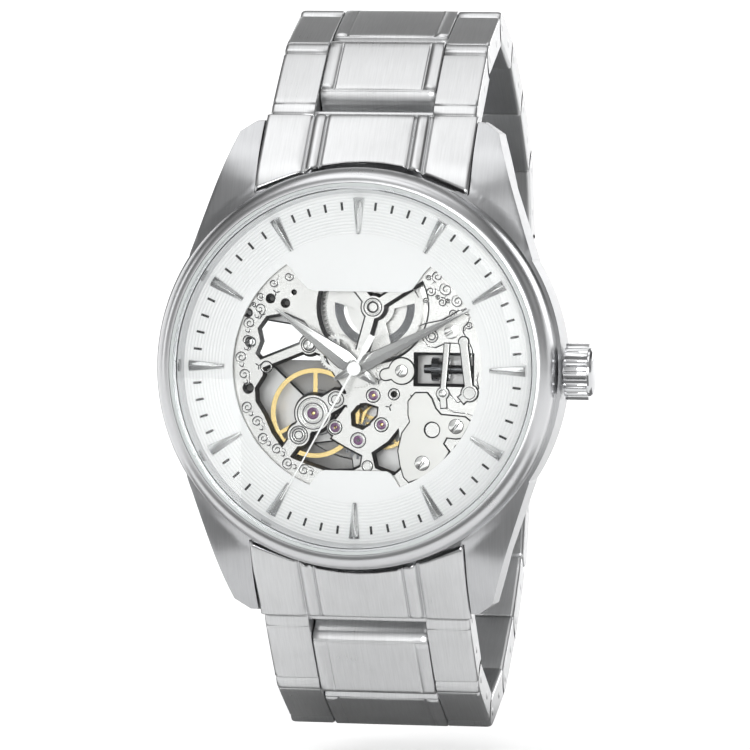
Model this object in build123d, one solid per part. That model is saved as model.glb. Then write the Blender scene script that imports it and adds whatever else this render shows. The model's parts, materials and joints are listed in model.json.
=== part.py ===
from build123d import *
import math
import os

os.makedirs("parts", exist_ok=True)

# Skeleton wristwatch. Millimetres. +Z to twelve o'clock, +X to three o'clock (the crown),
# -Y out of the dial, +Y to the wrist. Origin: centre of the case back's flat outer face.

# ---------------------------------------------------------------- driving dimensions
CASE_R = 21.0          # mid-case radius
BEZEL_R = 20.55        # bezel outer radius
LUG_GAP = 11.15        # half the gap between the lugs
LUG_TIP = 25.4         # half of lug to lug
DIAL_Y = -8.4          # dial's front face
DIAL_R = 18.2
WINDOW_R = 12.9        # dial window
MOVT_R = 12.95         # movement radius
PLATE_B, PLATE_F = -6.45, -7.5   # main plate, back and front
BRIDGE_B, BRIDGE_F = -2.95, -3.5 # bridges, back and front
CRYSTAL_R = 18.6
CROWN_R = 2.9
CROWN_PULL = 1.2
LINK_HW = 10.8         # bracelet half width
MID_HW = 6.1           # centre piece half width
LINK_T = 1.6           # half of the link thickness
PIN_R = 0.5
KN_R = 1.75            # rounded link end
KN_GAP = 0.12
ROWS = 7               # rows each side
BARREL = (1.45, 6.27)
BALANCE = (-4.6, -4.7)
THIRD = (1.62, -2.75)
FOURTH = (2.5, -5.73)
ESCAPE = (0.12, -7.36)
PALLET = (-2.28, -6.09)
MINUTE_WHEEL = (-2.07, 1.49)
HOUR_ANGLE, MINUTE_ANGLE, SECOND_ANGLE = 305.4, 62.1, 208.6  # clockwise from twelve


# ---------------------------------------------------------------- helpers
def face_plane(y):
    return Plane(origin=(0, y, 0), x_dir=(1, 0, 0), z_dir=(0, -1, 0))


def slab(sketch, back, front):
    """Extrude an outline drawn in X and Z from y=back out to y=front (front is lower)."""
    return extrude(face_plane(back) * sketch, amount=back - front)


def disc(r, back, front, c=(0, 0)):
    return slab(Pos(c[0], c[1]) * Circle(r), back, front)


def tube(ro, ri, back, front, c=(0, 0)):
    return slab(Pos(c[0], c[1]) * (Circle(ro) - Circle(ri)), back, front)


def poly(pts):
    """Closed outline from points, always counter-clockwise."""
    area = sum(a[0] * b[1] - b[0] * a[1] for a, b in zip(pts, list(pts[1:]) + [pts[0]]))
    return Polygon(*(pts if area > 0 else list(reversed(pts))), align=None)


def spin(points):
    """Solid of revolution about the Y axis from (radius, y) points."""
    return revolve(Plane.XY * poly(points), Axis.Y, 360)


def rod_x(r, x0, x1, y=0.0, z=0.0):
    return extrude(Plane(origin=(x0, y, z), x_dir=(0, 1, 0), z_dir=(1, 0, 0)) * Circle(r), amount=x1 - x0)


def gear(n, r_tip, r_root, turn=0.0, duty=0.42):
    pts = []
    for i in range(n):
        a = 2 * math.pi * (i + turn) / n
        w = 2 * math.pi / n
        for r, s in ((r_root, -0.5), (r_root, -duty * 0.62), (r_tip, -duty * 0.28), (r_tip, duty * 0.28), (r_root, duty * 0.62)):
            pts.append((r * math.cos(a + s * w), r * math.sin(a + s * w)))
    return poly(pts)


def wheel(c, n, r_tip, r_root, back, front, spokes=4, rim=0.32, hub=0.45, arm=0.28, turn=0.0, phase=0.0):
    body = gear(n, r_tip, r_root, turn)
    ring = Circle(r_root - rim) - Circle(hub)
    arms = Sketch()
    for i in range(spokes):
        arms += Rot(0, 0, phase + i * 360 / spokes) * (Pos(r_root / 2, 0) * Rectangle(r_root, arm))
    body = body - (ring - arms)
    return slab(Pos(c[0], c[1]) * body, back, front)


def bar2d(a, b, w):
    dx, dy = b[0] - a[0], b[1] - a[1]
    length = math.hypot(dx, dy)
    return Pos((a[0] + b[0]) / 2, (a[1] + b[1]) / 2) * Rot(0, 0, math.degrees(math.atan2(dy, dx))) * Rectangle(length, w)


def clock(angle, r, side=0.0):
    """Point at a clockwise angle from twelve, r out, side to its right."""
    a = math.radians(angle)
    return (r * math.sin(a) + side * math.cos(a), r * math.cos(a) - side * math.sin(a))


def ridge(angle, stations, back):
    """Faceted bar along a clock direction: (r, half width, height) stations, ridge towards -Y."""
    a = math.radians(angle)
    d = (math.sin(a), 0, math.cos(a))
    faces = []
    for r, hw, h in stations:
        pl = Plane(origin=(r * d[0], back, r * d[2]), x_dir=(math.cos(a), 0, -math.sin(a)), z_dir=(d[0], 0, d[2]))
        s = -1 if pl.y_dir.Y > 0 else 1
        faces.append(pl * poly([(-hw, 0), (hw, 0), (hw * 0.9, s * h * 0.35), (0, s * h), (-hw * 0.9, s * h * 0.35)]))
    out = None
    for f, g in zip(faces, faces[1:]):
        piece = loft([f.face() if hasattr(f, "face") else f, g.face() if hasattr(g, "face") else g], ruled=True)
        out = piece if out is None else out + piece
    return out


def save(name, *solids):
    items = []
    for s in solids:
        items += list(s.solids())
    comp = items[0] if len(items) == 1 else Compound(children=items)
    export_step(comp, f"parts/{name}.step")


# ---------------------------------------------------------------- bracelet centre line
# Outer surface of the closed loop seen from the side, (y, z), twelve-o'clock half then six-o'clock half.
TOP = [(0.9, 27.2), (7.8, 33.1), (16.3, 37.3), (24.2, 36.3), (31.2, 32.4), (38.2, 27.9), (44.0, 22.6), (47.0, 16.0), (47.7, 8.0), (47.8, 0.0)]
BOT = [(0.9, -27.2), (7.8, -33.8), (14.8, -38.4), (23.6, -37.6), (32.4, -33.2), (39.6, -27.0), (44.6, -21.3), (47.0, -14.5), (47.7, -7.0), (47.8, 0.0)]


def catmull(pts, per=40):
    out = []
    p = [tuple(2 * a - b for a, b in zip(pts[0], pts[1]))] + list(pts) + [(pts[-1][0], 2 * pts[-1][1] - pts[-2][1])]
    for i in range(1, len(p) - 2):
        for j in range(per):
            t = j / per
            out.append(tuple(0.5 * (2 * p[i][k] + (p[i + 1][k] - p[i - 1][k]) * t
                                    + (2 * p[i - 1][k] - 5 * p[i][k] + 4 * p[i + 1][k] - p[i + 2][k]) * t * t
                                    + (-p[i - 1][k] + 3 * p[i][k] - 3 * p[i + 1][k] + p[i + 2][k]) * t ** 3) for k in (0, 1)))
    out.append(pts[-1])
    return out


def offset_line(pts, d, sign):
    """Move a front-to-back line inwards by d. sign is +1 for the upper half, -1 for the lower half."""
    out = []
    for i, q in enumerate(pts):
        a, b = pts[max(i - 1, 0)], pts[min(i + 1, len(pts) - 1)]
        ty, tz = b[0] - a[0], b[1] - a[1]
        m = math.hypot(ty, tz)
        out.append((q[0] + sign * tz / m * d, q[1] - sign * ty / m * d))
    return out


def march(line, count, end_z, sign):
    """Equal chords along the line, the last point just short of the middle."""
    def run(p):
        pts, i = [line[0]], 0
        for _ in range(count):
            c = pts[-1]
            while i < len(line) - 1 and math.dist(line[i + 1], c) < p:
                i += 1
            if i >= len(line) - 1:
                return None
            a, b = line[i], line[i + 1]
            lo, hi = 0.0, 1.0
            for _ in range(40):
                t = (lo + hi) / 2
                q = (a[0] + (b[0] - a[0]) * t, a[1] + (b[1] - a[1]) * t)
                if math.dist(q, c) < p:
                    lo = t
                else:
                    hi = t
            pts.append(q)
        return pts
    lo, hi = 6.0, 16.0
    for _ in range(60):
        p = (lo + hi) / 2
        pts = run(p)
        if pts is None or sign * pts[-1][1] < end_z:
            hi = p
        else:
            lo = p
    return lo, run(lo)


line_t = offset_line(catmull(TOP), LINK_T + 0.1, 1)
line_b = offset_line(catmull(BOT), LINK_T + 0.1, -1)
PITCH_T, PINS_T = march(line_t, ROWS, 2.0, 1)
PITCH_B, PINS_B = march(line_b, ROWS, 2.0, -1)
print("pitch", round(PITCH_T, 3), round(PITCH_B, 3))
print("pins top", [tuple(round(v, 3) for v in q) for q in PINS_T])
print("pins bottom", [tuple(round(v, 3) for v in q) for q in PINS_B])


def frame_at(a, b, sign, x=0.0):
    ty, tz = b[0] - a[0], b[1] - a[1]
    return Plane(origin=(x, a[0], a[1]), x_dir=(0, ty, tz), z_dir=(sign, 0, 0))


def across(sketch, pl, hw0, hw1):
    """Extrude a side outline from x=hw0 to x=hw1 (both on the plane's own normal side)."""
    moved = Plane(origin=pl.origin + pl.z_dir * hw0, x_dir=pl.x_dir, z_dir=pl.z_dir)
    return extrude(moved * sketch, amount=hw1 - hw0)


def link_outline(start, end, lo=-LINK_T, hi=LINK_T):
    """start, end: (position, kind); kind 'out' is round about the pin, 'in' is hollow about it, 'flat' is cut square."""
    (p0, k0), (p1, k1) = start, end
    x0 = p0 - KN_R if k0 == "out" else p0
    x1 = p1 + KN_R if k1 == "out" else p1
    s = Pos((x0 + x1) / 2, (lo + hi) / 2) * Rectangle(x1 - x0, hi - lo)
    if k0 == "out":
        s = s - (Pos(p0 - KN_R, 0) * Rectangle(2 * KN_R, 4 * KN_R)) + (Pos(p0, 0) * Circle(KN_R) & Pos(p0 - KN_R / 2, (lo + hi) / 2) * Rectangle(KN_R, hi - lo))
    if k1 == "out":
        s = s - (Pos(p1 + KN_R, 0) * Rectangle(2 * KN_R, 4 * KN_R)) + (Pos(p1, 0) * Circle(KN_R) & Pos(p1 + KN_R / 2, (lo + hi) / 2) * Rectangle(KN_R, hi - lo))
    if k0 == "in":
        s = s - Pos(p0, 0) * Circle(KN_R + KN_GAP)
    if k1 == "in":
        s = s - Pos(p1, 0) * Circle(KN_R + KN_GAP)
    return s


def link_row(name, a, b, sign, last=False, open_start=False, open_end=False):
    pl = frame_at(a, b, sign)
    p = math.dist(a, b)
    hole_a, hole_b = Pos(0, 0) * Circle(PIN_R), Pos(p, 0) * Circle(PIN_R)
    mid_pin = Pos(p / 2, 0) * Circle(PIN_R)
    run_b = Pos(p, 0) * Circle(PIN_R + 0.05)
    if last:
        side = link_outline((0, "out"), (p + KN_R - 0.05, "flat")) - hole_a - mid_pin - hole_b
        centre = link_outline((0, "in"), (p + KN_R - 0.05, "flat")) - mid_pin - hole_b
    else:
        side = link_outline((0, "out"), (p, "in")) - hole_a - mid_pin
        centre = link_outline((0, "in"), (p, "out")) - mid_pin - run_b
    if open_start:   # square-cut centre piece, so that the open joint parts freely
        centre = link_outline((KN_R + 0.3, "flat"), (p, "out")) - mid_pin - run_b
    if open_end:
        side = link_outline((0, "out"), (p - KN_R - 0.3, "flat")) - hole_a - mid_pin
        centre = link_outline((0, "in"), (p, "out")) - mid_pin - hole_b
    right = across(side, pl, MID_HW + 0.05, LINK_HW)
    left = across(side, pl, -LINK_HW, -MID_HW - 0.05)
    mid = across(centre, pl, -MID_HW, MID_HW)
    pins = [across(mid_pin, pl, -LINK_HW + 0.3, LINK_HW - 0.3)]
    if not open_start:
        pins.append(across(hole_a, pl, -LINK_HW + 0.3, LINK_HW - 0.3))
    if open_end:     # the open joint's pin stays inside this centre piece
        pins.append(across(hole_b, pl, -MID_HW, MID_HW))
    right = right - across(hole_a + mid_pin, pl, MID_HW, LINK_HW - 0.3)
    if last:
        # slot for the clasp arm's ear
        mid = mid - across(Pos(p, -1.0) * Rectangle(5.2, 6.2), pl, -2.8, 2.8)
        pins.append(across(hole_b, pl, -LINK_HW + 0.3, LINK_HW - 0.3))
    parts = []
    for s in list(left.solids()) + list(right.solids()) + list(mid.solids()):
        parts.append(s)
    save(name, *parts, *pins)
    return pl, p


# ---------------------------------------------------------------- case
LUG_CUT = 1.2      # the lug tips slope back by this at their outer corners
outline = poly([(11.8, LUG_TIP), (13.5, LUG_TIP - LUG_CUT), (17.75, 11.4), (17.75, -11.4), (13.5, LUG_CUT - LUG_TIP), (11.8, -LUG_TIP),
                (-11.8, -LUG_TIP), (-13.5, LUG_CUT - LUG_TIP), (-17.75, -11.4), (-17.75, 11.4), (-13.5, LUG_TIP - LUG_CUT), (-11.8, LUG_TIP)])
for s in (1, -1):
    outline = outline - Pos(0, s * 22.0) * Rectangle(2 * LUG_GAP, 14)
outline = outline + Circle(CASE_R)
body = slab(outline, 6.0, -9.0)
half = [(-8.0, 0), (-8.0, 15.0), (-7.1, 18.2), (-4.3, 22.2), (-1.2, 25.3), (0.2, LUG_TIP), (1.9, LUG_TIP), (2.7, 24.5), (0.9, 21.2), (-1.0, 18.6), (-1.0, 0)]
side_prof = half + [(y, -z) for y, z in reversed(half[1:-1])]
side_plane = Plane(origin=(-25, 0, 0), x_dir=(0, 1, 0), z_dir=(1, 0, 0))
case = body & extrude(side_plane * poly(side_prof), amount=50)
case = case - disc(16.5, 1.0, -9.0)
case = case - spin([(20.0, -8.5), (20.62, -7.3), (30.0, -3.8), (30.0, -8.5)])
case = case - rod_x(1.3, 15.5, 22.0, y=-5.6)
SPRING = (0.2, 22.9)   # spring bar centre, (y, z)
for s in (1, -1):
    case = case - rod_x(0.45, -12.3, 12.3, y=SPRING[0], z=s * SPRING[1])
crown_tube = rod_x(1.29, 16.6, 21.9, y=-5.6) - rod_x(0.72, 15.0, 24.0, y=-5.6)
# the pressed-in crown tube is a solid of its own in the case's node
save("case_body", case, crown_tube)

bezel = spin([(18.35, -8.05), (20.5, -8.05), (20.55, -8.8), (20.4, -9.6), (20.1, -10.35), (19.65, -11.0), (19.25, -11.3), (18.95, -11.35), (18.95, -10.4), (18.35, -10.4)])
save("bezel", bezel)
crystal = spin([(0, -10.4), (CRYSTAL_R, -10.4), (CRYSTAL_R, -11.45), (18.3, -11.62), (15, -11.78), (10, -11.92), (5, -12.0), (0, -12.02)])
save("crystal", crystal)
save("crystal_gasket", tube(18.93, CRYSTAL_R + 0.01, -10.42, -11.3))
rehaut = spin([(17.85, -8.42), (18.3, -8.42), (18.3, -10.38), (18.2, -10.38)])
save("rehaut", rehaut)

window = Circle(WINDOW_R)
window = window - poly([(-11, 14), (-7.9, 10.9), (-6.9, 10.1), (-6.0, 8.9), (-5.2, 8.1), (-4.5, 7.85), (4.9, 7.85), (5.6, 8.15), (6.2, 8.9), (6.7, 9.7), (7.6, 10.7), (9, 14)])
window = window - poly([(-8, -14), (-4.8, -12.1), (-3.75, -10.7), (-3.2, -10.45), (3.2, -10.45), (3.7, -10.7), (4.6, -12.1), (8, -14)])
dial = slab(Circle(DIAL_R) - window, -8.02, DIAL_Y)
save("dial", dial)
markers = [ridge(30 * i, [(13.7, 0.26, 0.34), (17.4, 0.6, 0.5)], DIAL_Y - 0.005) for i in range(12)]
save("hour_markers", *markers)

# ---------------------------------------------------------------- hands
hour_hand = ridge(HOUR_ANGLE, [(-2.6, 0.25, 0.18), (1.6, 1.05, 0.34), (10.3, 0.1, 0.14)], -8.8) - disc(0.72, -8.0, -10.0)
save("hour_hand", hour_hand)
minute_hand = ridge(MINUTE_ANGLE, [(-2.4, 0.2, 0.16), (1.6, 0.78, 0.3), (13.3, 0.08, 0.12)], -9.4) - disc(0.5, -8.0, -10.2)
save("minute_hand", minute_hand)
sec = slab(poly([clock(SECOND_ANGLE, 15.4, -0.05), clock(SECOND_ANGLE, 15.4, 0.05), clock(SECOND_ANGLE, 0, 0.13), clock(SECOND_ANGLE, -1.6, 0.16),
                 clock(SECOND_ANGLE, -2.4, 0.36), clock(SECOND_ANGLE, -3.9, 0.3), clock(SECOND_ANGLE, -3.9, -0.3), clock(SECOND_ANGLE, -2.4, -0.36), clock(SECOND_ANGLE, -1.6, -0.16), clock(SECOND_ANGLE, 0, -0.13)]), -9.98, -10.13)
sec = sec + disc(0.7, -9.88, -10.2) + disc(0.12, -3.62, -9.9)
# sweep pinion at the back end of the seconds arbor
sec = sec + slab(gear(10, 0.46, 0.33), -3.66, -3.86)
save("seconds_hand", sec)

# ---------------------------------------------------------------- movement: main plate
plate = Circle(MOVT_R)
plate = plate - Pos(*BARREL) * Circle(5.85) + Circle(1.5)
left_open = poly([(-9.6, 5.2), (-10.5, 3.9), (-10.2, 2.6), (-10.7, 1.3), (-9.9, 0.4), (-9.9, -0.9), (-10.7, -2.2), (-10.6, -3.6), (-9.7, -5.0), (-8.9, -6.8),
                  (-7.8, -8.3), (-6.8, -9.3), (-5.0, -10.0), (-2.8, -10.7), (-0.6, -10.6), (0.4, -10.1), (0.6, -8.9), (-1.2, -8.0), (-2.6, -7.2), (-1.0, -4.6), (-1.2, -2.4), (-2.6, -0.4), (-4.0, 2.6), (-5.6, 4.8), (-7.6, 5.6)])
plate = plate - left_open
plate = plate - poly([(0.9, -3.5), (2.2, -3.9), (2.1, -4.9), (1.4, -5.6), (1.5, -6.7), (0.5, -6.3), (-0.6, -5.9), (-0.7, -4.6), (0.1, -3.6)])
plate = plate - poly([(1.5, -8.6), (3.2, -7.4), (4.3, -6.0), (4.6, -8.6), (4.9, -10.0), (3.9, -10.9), (1.9, -10.2)])
plate = plate - poly([(5.75, -1.75), (12.0, -1.75), (12.0, 1.75), (5.75, 1.75)])
for x, z, r in ((-9.17, 6.99, 0.52), (-7.62, 6.54, 0.5), (-11.49, 5.48, 0.5), (-11.21, 2.49, 0.6), (-11.38, -2.22, 0.6), (-9.5, -0.03, 0.35), (-6.74, 7.67, 0.3), (3.76, -2.59, 0.35), (10.4, -8.0, 0.4)):
    plate = plate - Pos(x, z) * Circle(r)
# lower balance support, barrel arbor support and their arms
plate = plate + Pos(*BALANCE) * Circle(1.85) + bar2d(BALANCE, (-2.1, -3.15), 1.9) + Pos(-2.24, -3.23) * Circle(0.95)
plate = plate + bar2d((-2.24, -3.23), (0.2, -3.2), 1.1) + bar2d(BALANCE, (-6.06, -6.95), 1.8) + Pos(-6.06, -6.95) * Circle(1.15) + bar2d((-6.06, -6.95), (-7.7, -9.2), 1.2)
plate = plate + Pos(*PALLET) * Circle(0.8) + bar2d(PALLET, ESCAPE, 1.0) + Pos(*ESCAPE) * Circle(1.0) + bar2d(ESCAPE, FOURTH, 1.2) + bar2d(PALLET, (-0.9, -4.2), 0.8)
plate = plate + Pos(*BARREL) * Circle(1.15) + bar2d(BARREL, (-2.4, 11.1), 0.9) + bar2d(BARREL, (6.6, 9.6), 0.9) + bar2d(BARREL, (0.1, 1.2), 0.9)
plate = plate + bar2d((-11.0, -0.1), (-5.1, 2.3), 0.8) + Pos(-5.11, 2.3) * Circle(0.95) + bar2d((-5.1, 2.3), (-3.0, 1.5), 0.9)
plate = plate - Circle(0.62)
jewel_at = [(BALANCE, 0.62), (THIRD, 0.5), (FOURTH, 0.5), (ESCAPE, 0.5), (PALLET, 0.5), (BARREL, 0.62)]
for c, r in jewel_at:
    if r:
        plate = plate - Pos(*c) * Circle(r)
main_plate = slab(plate, PLATE_B, PLATE_F)
main_plate = max(main_plate.solids(), key=lambda s: s.volume)
post = disc(0.2, PLATE_F, -7.95, MINUTE_WHEEL)
# pillars that carry the bridges
PILLARS = [(-8.7, 8.2), (9.6, 6.6), (-11.6, -1.0), (-8.5, -8.6), (5.6, -10.6), (10.9, -5.2), (6.25, 10.4), (-4.2, 11.5)]
pillars = [disc(0.5, BRIDGE_F, PLATE_B, c) for c in PILLARS]
solid_plate = main_plate + post
for q in pillars:
    solid_plate = solid_plate + q
save("main_plate", solid_plate)
jewels = []
for c, r in jewel_at[:5]:
    jewels.append(tube(r, 0.17 if r < 0.6 else 0.2, -6.75, -7.42, c))
save("jewels", *jewels)

# bridges on the wrist side
bb = Circle(MOVT_R - 0.2) & poly([(-13, 13), (13, 13), (13, 3.0), (4.0, 1.4), (1.2, 1.9), (-1.2, 1.9), (-5.0, 4.0), (-13, 5.2)])
bb = bb - Pos(*BARREL) * Circle(0.85)
save("barrel_bridge", slab(bb, BRIDGE_B, BRIDGE_F))
tb = Circle(MOVT_R - 0.2) & poly([(-2.2, 1.2), (4.0, 1.0), (13, 2.6), (13, -13), (-0.6, -13), (-1.2, -8.6), (-1.6, -6.0), (-2.4, -2.6)])
for c in (THIRD, FOURTH, ESCAPE, (0, 0)):
    tb = tb - Pos(*c) * Circle(0.2)
save("train_bridge", slab(tb, BRIDGE_B, BRIDGE_F))
cock = Circle(MOVT_R - 0.2) & poly([(-13, -0.2), (-9.4, -0.2), (-6.2, -3.2), (-2.9, -3.2), (-2.2, -5.2), (-2.0, -7.2), (-3.4, -7.6), (-6.6, -8.0), (-7.2, -10.4), (-9.0, -11.5), (-13, -8)])
cock = cock - Pos(*BALANCE) * Circle(0.2) - Pos(*PALLET) * Circle(0.2)
save("balance_cock", slab(cock, BRIDGE_B, BRIDGE_F))

# ---------------------------------------------------------------- barrel and going train
M_B = 2 * math.hypot(*BARREL) / 90
r_b, r_cp = M_B * 39, M_B * 6
barrel = slab(Pos(*BARREL) * (gear(78, r_b + 0.11, r_b - 0.14) - Circle(0.9)), -4.5, -4.85) + tube(5.0, 4.8, -4.85, -6.2, BARREL)
lid = Circle(4.8) - Circle(0.9)
arc_pts = lambda r, a0, a1: [(r * math.cos(math.radians(a0 + (a1 - a0) * k / 14)), r * math.sin(math.radians(a0 + (a1 - a0) * k / 14))) for k in range(15)]
for i in range(3):
    mid = 90 + 120 * i
    lid = lid - poly(arc_pts(4.15, mid - 36, mid + 36) + arc_pts(2.0, mid + 26, mid - 26))
barrel = barrel + slab(Pos(*BARREL) * (lid), -6.0, -6.2)
save("barrel", barrel, disc(0.8, -3.0, -6.25, BARREL) + disc(0.55, -6.2, -7.2, BARREL))
spring = []
for i in range(6):
    spring.append(tube(4.6 - 0.24 * i, 4.48 - 0.24 * i, -4.95, -5.9, BARREL))
save("mainspring", *spring)
r_cw = 3.19 * 80 / 90
centre = wheel((0, 0), 80, r_cw + 0.06, r_cw - 0.08, -4.0, -4.2, spokes=5) + slab(gear(12, r_cp + 0.05, r_cp - 0.18, 0.3), -4.2, -4.95) + disc(0.3, -4.0, -7.55)
centre = centre - disc(0.16, -3.0, -9.0)
save("centre_wheel", centre)
r_tw = 2.78
third = wheel(THIRD, 75, r_tw + 0.05, r_tw - 0.09, -3.66, -3.82, spokes=4, phase=20) + slab(Pos(*THIRD) * gear(10, 0.4, 0.28), -3.82, -4.3) + disc(0.15, -3.05, -7.3, THIRD)
save("third_wheel", third)
r_fw = math.dist(FOURTH, ESCAPE) * 80 / 88
fourth = wheel(FOURTH, 80, r_fw + 0.05, r_fw - 0.08, -5.0, -5.16, spokes=3, phase=60) + slab(Pos(*FOURTH) * gear(10, 0.38, 0.26), -3.62, -4.0) + disc(0.15, -3.05, -7.3, FOURTH)
save("fourth_wheel", fourth)
esc = slab(Pos(*ESCAPE) * (gear(18, 2.05, 1.62, duty=0.5) - (Circle(1.3) - Circle(0.4) - bar2d((-1.5, 0), (1.5, 0), 0.24) - bar2d((0, -1.5), (0, 1.5), 0.24))), -5.55, -5.7)
esc = esc + slab(Pos(*ESCAPE) * gear(8, 0.32, 0.2), -4.9, -5.6) + disc(0.15, -3.05, -7.3, ESCAPE)
save("escape_wheel", esc)
pb = (BALANCE[0] - PALLET[0], BALANCE[1] - PALLET[1])
L = math.hypot(*pb)
ub = (pb[0] / L, pb[1] / L)
ue = (-ub[1], ub[0])
fork = bar2d(PALLET, (PALLET[0] + ub[0] * 1.75, PALLET[1] + ub[1] * 1.75), 0.26)
fork = fork + Pos(*PALLET) * Circle(0.36)
fork = fork + bar2d((PALLET[0] + ub[0] * 1.75 - ue[0] * 0.35, PALLET[1] + ub[1] * 1.75 - ue[1] * 0.35), (PALLET[0] + ub[0] * 1.75 + ue[0] * 0.35, PALLET[1] + ub[1] * 1.75 + ue[1] * 0.35), 0.22)
fork = fork + bar2d((PALLET[0] - ue[0] * 0.95, PALLET[1] - ue[1] * 0.95), (PALLET[0] + ue[0] * 0.95, PALLET[1] + ue[1] * 0.95), 0.3)
save("pallet_fork", slab(fork, -5.3, -5.45) + disc(0.15, -3.05, -5.85, PALLET))

rim2 = Circle(4.62) - Circle(4.12)
for i in range(3):
    rim2 = rim2 + Rot(0, 0, 90 + 120 * i) * (Pos(2.2, 0) * Rectangle(4.2, 0.42))
rim2 = rim2 + Circle(0.5)
balance = slab(Pos(*BALANCE) * rim2, -5.95, -6.3) + disc(0.18, -3.05, -7.3, BALANCE) + disc(0.75, -5.2, -5.5, BALANCE)
save("balance_wheel", balance)
coils = [tube(0.75 + 0.32 * i, 0.68 + 0.32 * i, -4.0, -4.25, BALANCE) for i in range(6)]
save("hairspring", *coils, tube(0.45, 0.18, -3.9, -4.35, BALANCE))

# ---------------------------------------------------------------- motion work
M_M = 2 * math.hypot(*MINUTE_WHEEL) / 48
cannon = slab(gear(12, M_M * 6 + 0.07, M_M * 6 - 0.1, 0.5), -7.58, -7.8) + disc(0.5, -7.56, -9.75)
cannon = cannon - disc(0.3, -7.0, -7.56) - disc(0.16, -7.0, -10.0)
save("cannon_pinion", cannon)
mw = wheel(MINUTE_WHEEL, 36, M_M * 18 + 0.06, M_M * 18 - 0.1, -7.58, -7.78, spokes=4, hub=0.6) + slab(Pos(*MINUTE_WHEEL) * gear(10, 0.55, 0.4), -7.78, -8.02)
mw = mw - disc(0.24, -7.0, -8.5, MINUTE_WHEEL)
save("minute_wheel", mw)
hw_ = slab(gear(40, 2.08, 1.92) - Circle(0.5), -7.86, -8.02) + disc(0.72, -7.86, -9.2)
hw_ = hw_ - disc(0.55, -7.0, -10.0)
save("hour_wheel", hw_)

# ---------------------------------------------------------------- keyless work, stem and crown
STEM_Y = -5.6
stem = rod_x(0.45, 6.6, 23.6, y=STEM_Y) + rod_x(0.62, 13.6, 14.6, y=STEM_Y)
def pinion_x(n, ro, rr, x0, x1):
    return extrude(Plane(origin=(x0, STEM_Y, 0), x_dir=(0, 1, 0), z_dir=(1, 0, 0)) * (gear(n, ro, rr) - Circle(0.5)), amount=x1 - x0)
save("stem", stem)
save("sliding_pinion", pinion_x(16, 1.2, 0.95, 7.4, 8.1) + (rod_x(0.8, 8.1, 8.7, y=STEM_Y) - rod_x(0.5, 8.0, 8.8, y=STEM_Y)) + pinion_x(16, 1.2, 0.95, 8.7, 9.2))
cover = poly([(5.31, -3.27), (6.01, -2.43), (7.2, -2.41), (7.68, -2.99), (8.05, -3.92), (8.65, -4.61), (11.14, -4.8), (11.74, -5.26), (10.81, -6.91), (10.22, -6.98), (9.28, -6.88), (8.93, -7.54), (9.53, -8.34), (8.95, -9.29),
              (8.02, -10.13), (6.61, -11.1), (5.43, -11.5), (4.95, -11.02), (4.58, -9.85), (4.32, -8.33), (4.71, -6.56), (5.52, -5.37), (5.33, -4.67)]) - Pos(7.78, -6.15) * Circle(0.85)
small = Pos(4.56, -0.2) * Circle(1.3) + bar2d((4.56, -0.2), (2.9, -0.6), 1.1) + Pos(2.9, -0.6) * Circle(0.55)
SCREWS = [((10.26, -5.75), 0.72, -7.82), ((6.83, -9.57), 0.72, -7.82), ((4.56, -0.2), 0.6, -7.82), ((9.6, 3.89), 0.75, -7.5), ((-5.11, 2.3), 0.5, -7.5)]
for c, r, y in SCREWS[:2]:
    cover = cover - Pos(*c) * Circle(0.3)
small = small - Pos(4.56, -0.2) * Circle(0.3)
save("keyless_cover", slab(cover, PLATE_F, -7.82), slab(small, PLATE_F, -7.82))
LEVER = (11.58, -2.33)
lever = Pos(*LEVER) * Circle(0.85) + bar2d(LEVER, (10.9, 2.9), 0.8) + Pos(10.9, 2.9) * Circle(0.5) + bar2d(LEVER, (10.7, -3.1), 0.9)
lever = lever - Pos(*LEVER) * Circle(0.3)
save("setting_lever", slab(lever, PLATE_F - 0.03, -7.85))
YOKE = (8.82, -2.41)
yoke = bar2d(YOKE, (9.2, 2.7), 0.55) + Pos(*YOKE) * Circle(0.62) + bar2d(YOKE, (8.95, -3.9), 0.6)
yoke = yoke - Pos(*YOKE) * Circle(0.24)
save("yoke", slab(yoke, PLATE_F - 0.03, -7.8))
screws = []
def screw(c, r, y_seat, shank=0.28, h=0.22, deep=0.8):
    head = disc(r, y_seat, y_seat - h, c) - slab(Pos(*c) * Rot(0, 0, 55) * Rectangle(2 * r + 0.2, 0.2), y_seat - h * 0.45, y_seat - h - 0.1)
    return head + disc(shank, y_seat + deep, y_seat, c)
holes = []
for c, r, y in SCREWS[:3]:
    screws.append(screw(c, r, y, 0.28, 0.2, 0.3))
screws.append(disc(0.75, PLATE_F, PLATE_F - 0.2, (9.6, 3.89)) - slab(Pos(9.6, 3.89) * Rot(0, 0, 30) * Rectangle(2, 0.2), PLATE_F - 0.1, PLATE_F - 0.4))
screws.append(disc(0.5, PLATE_F, PLATE_F - 0.2, (-5.11, 2.3)) - slab(Pos(-5.11, 2.3) * Rot(0, 0, 70) * Rectangle(2, 0.16), PLATE_F - 0.1, PLATE_F - 0.4))
screws.append(tube(0.6, 0.31, -7.86, -7.98, LEVER) + disc(0.25, PLATE_F, -7.98, LEVER) + disc(0.31, -7.86, -7.98, LEVER))
screws.append(disc(0.2, PLATE_F, -7.92, YOKE) + disc(0.35, -7.83, -7.95, YOKE))
for c in PILLARS:
    screws.append(disc(0.55, BRIDGE_B + 0.18, BRIDGE_B, c) - slab(Pos(*c) * Rot(0, 0, 40) * Rectangle(2, 0.16), BRIDGE_B + 0.3, BRIDGE_B + 0.1))
save("movement_screws", *screws)

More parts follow.
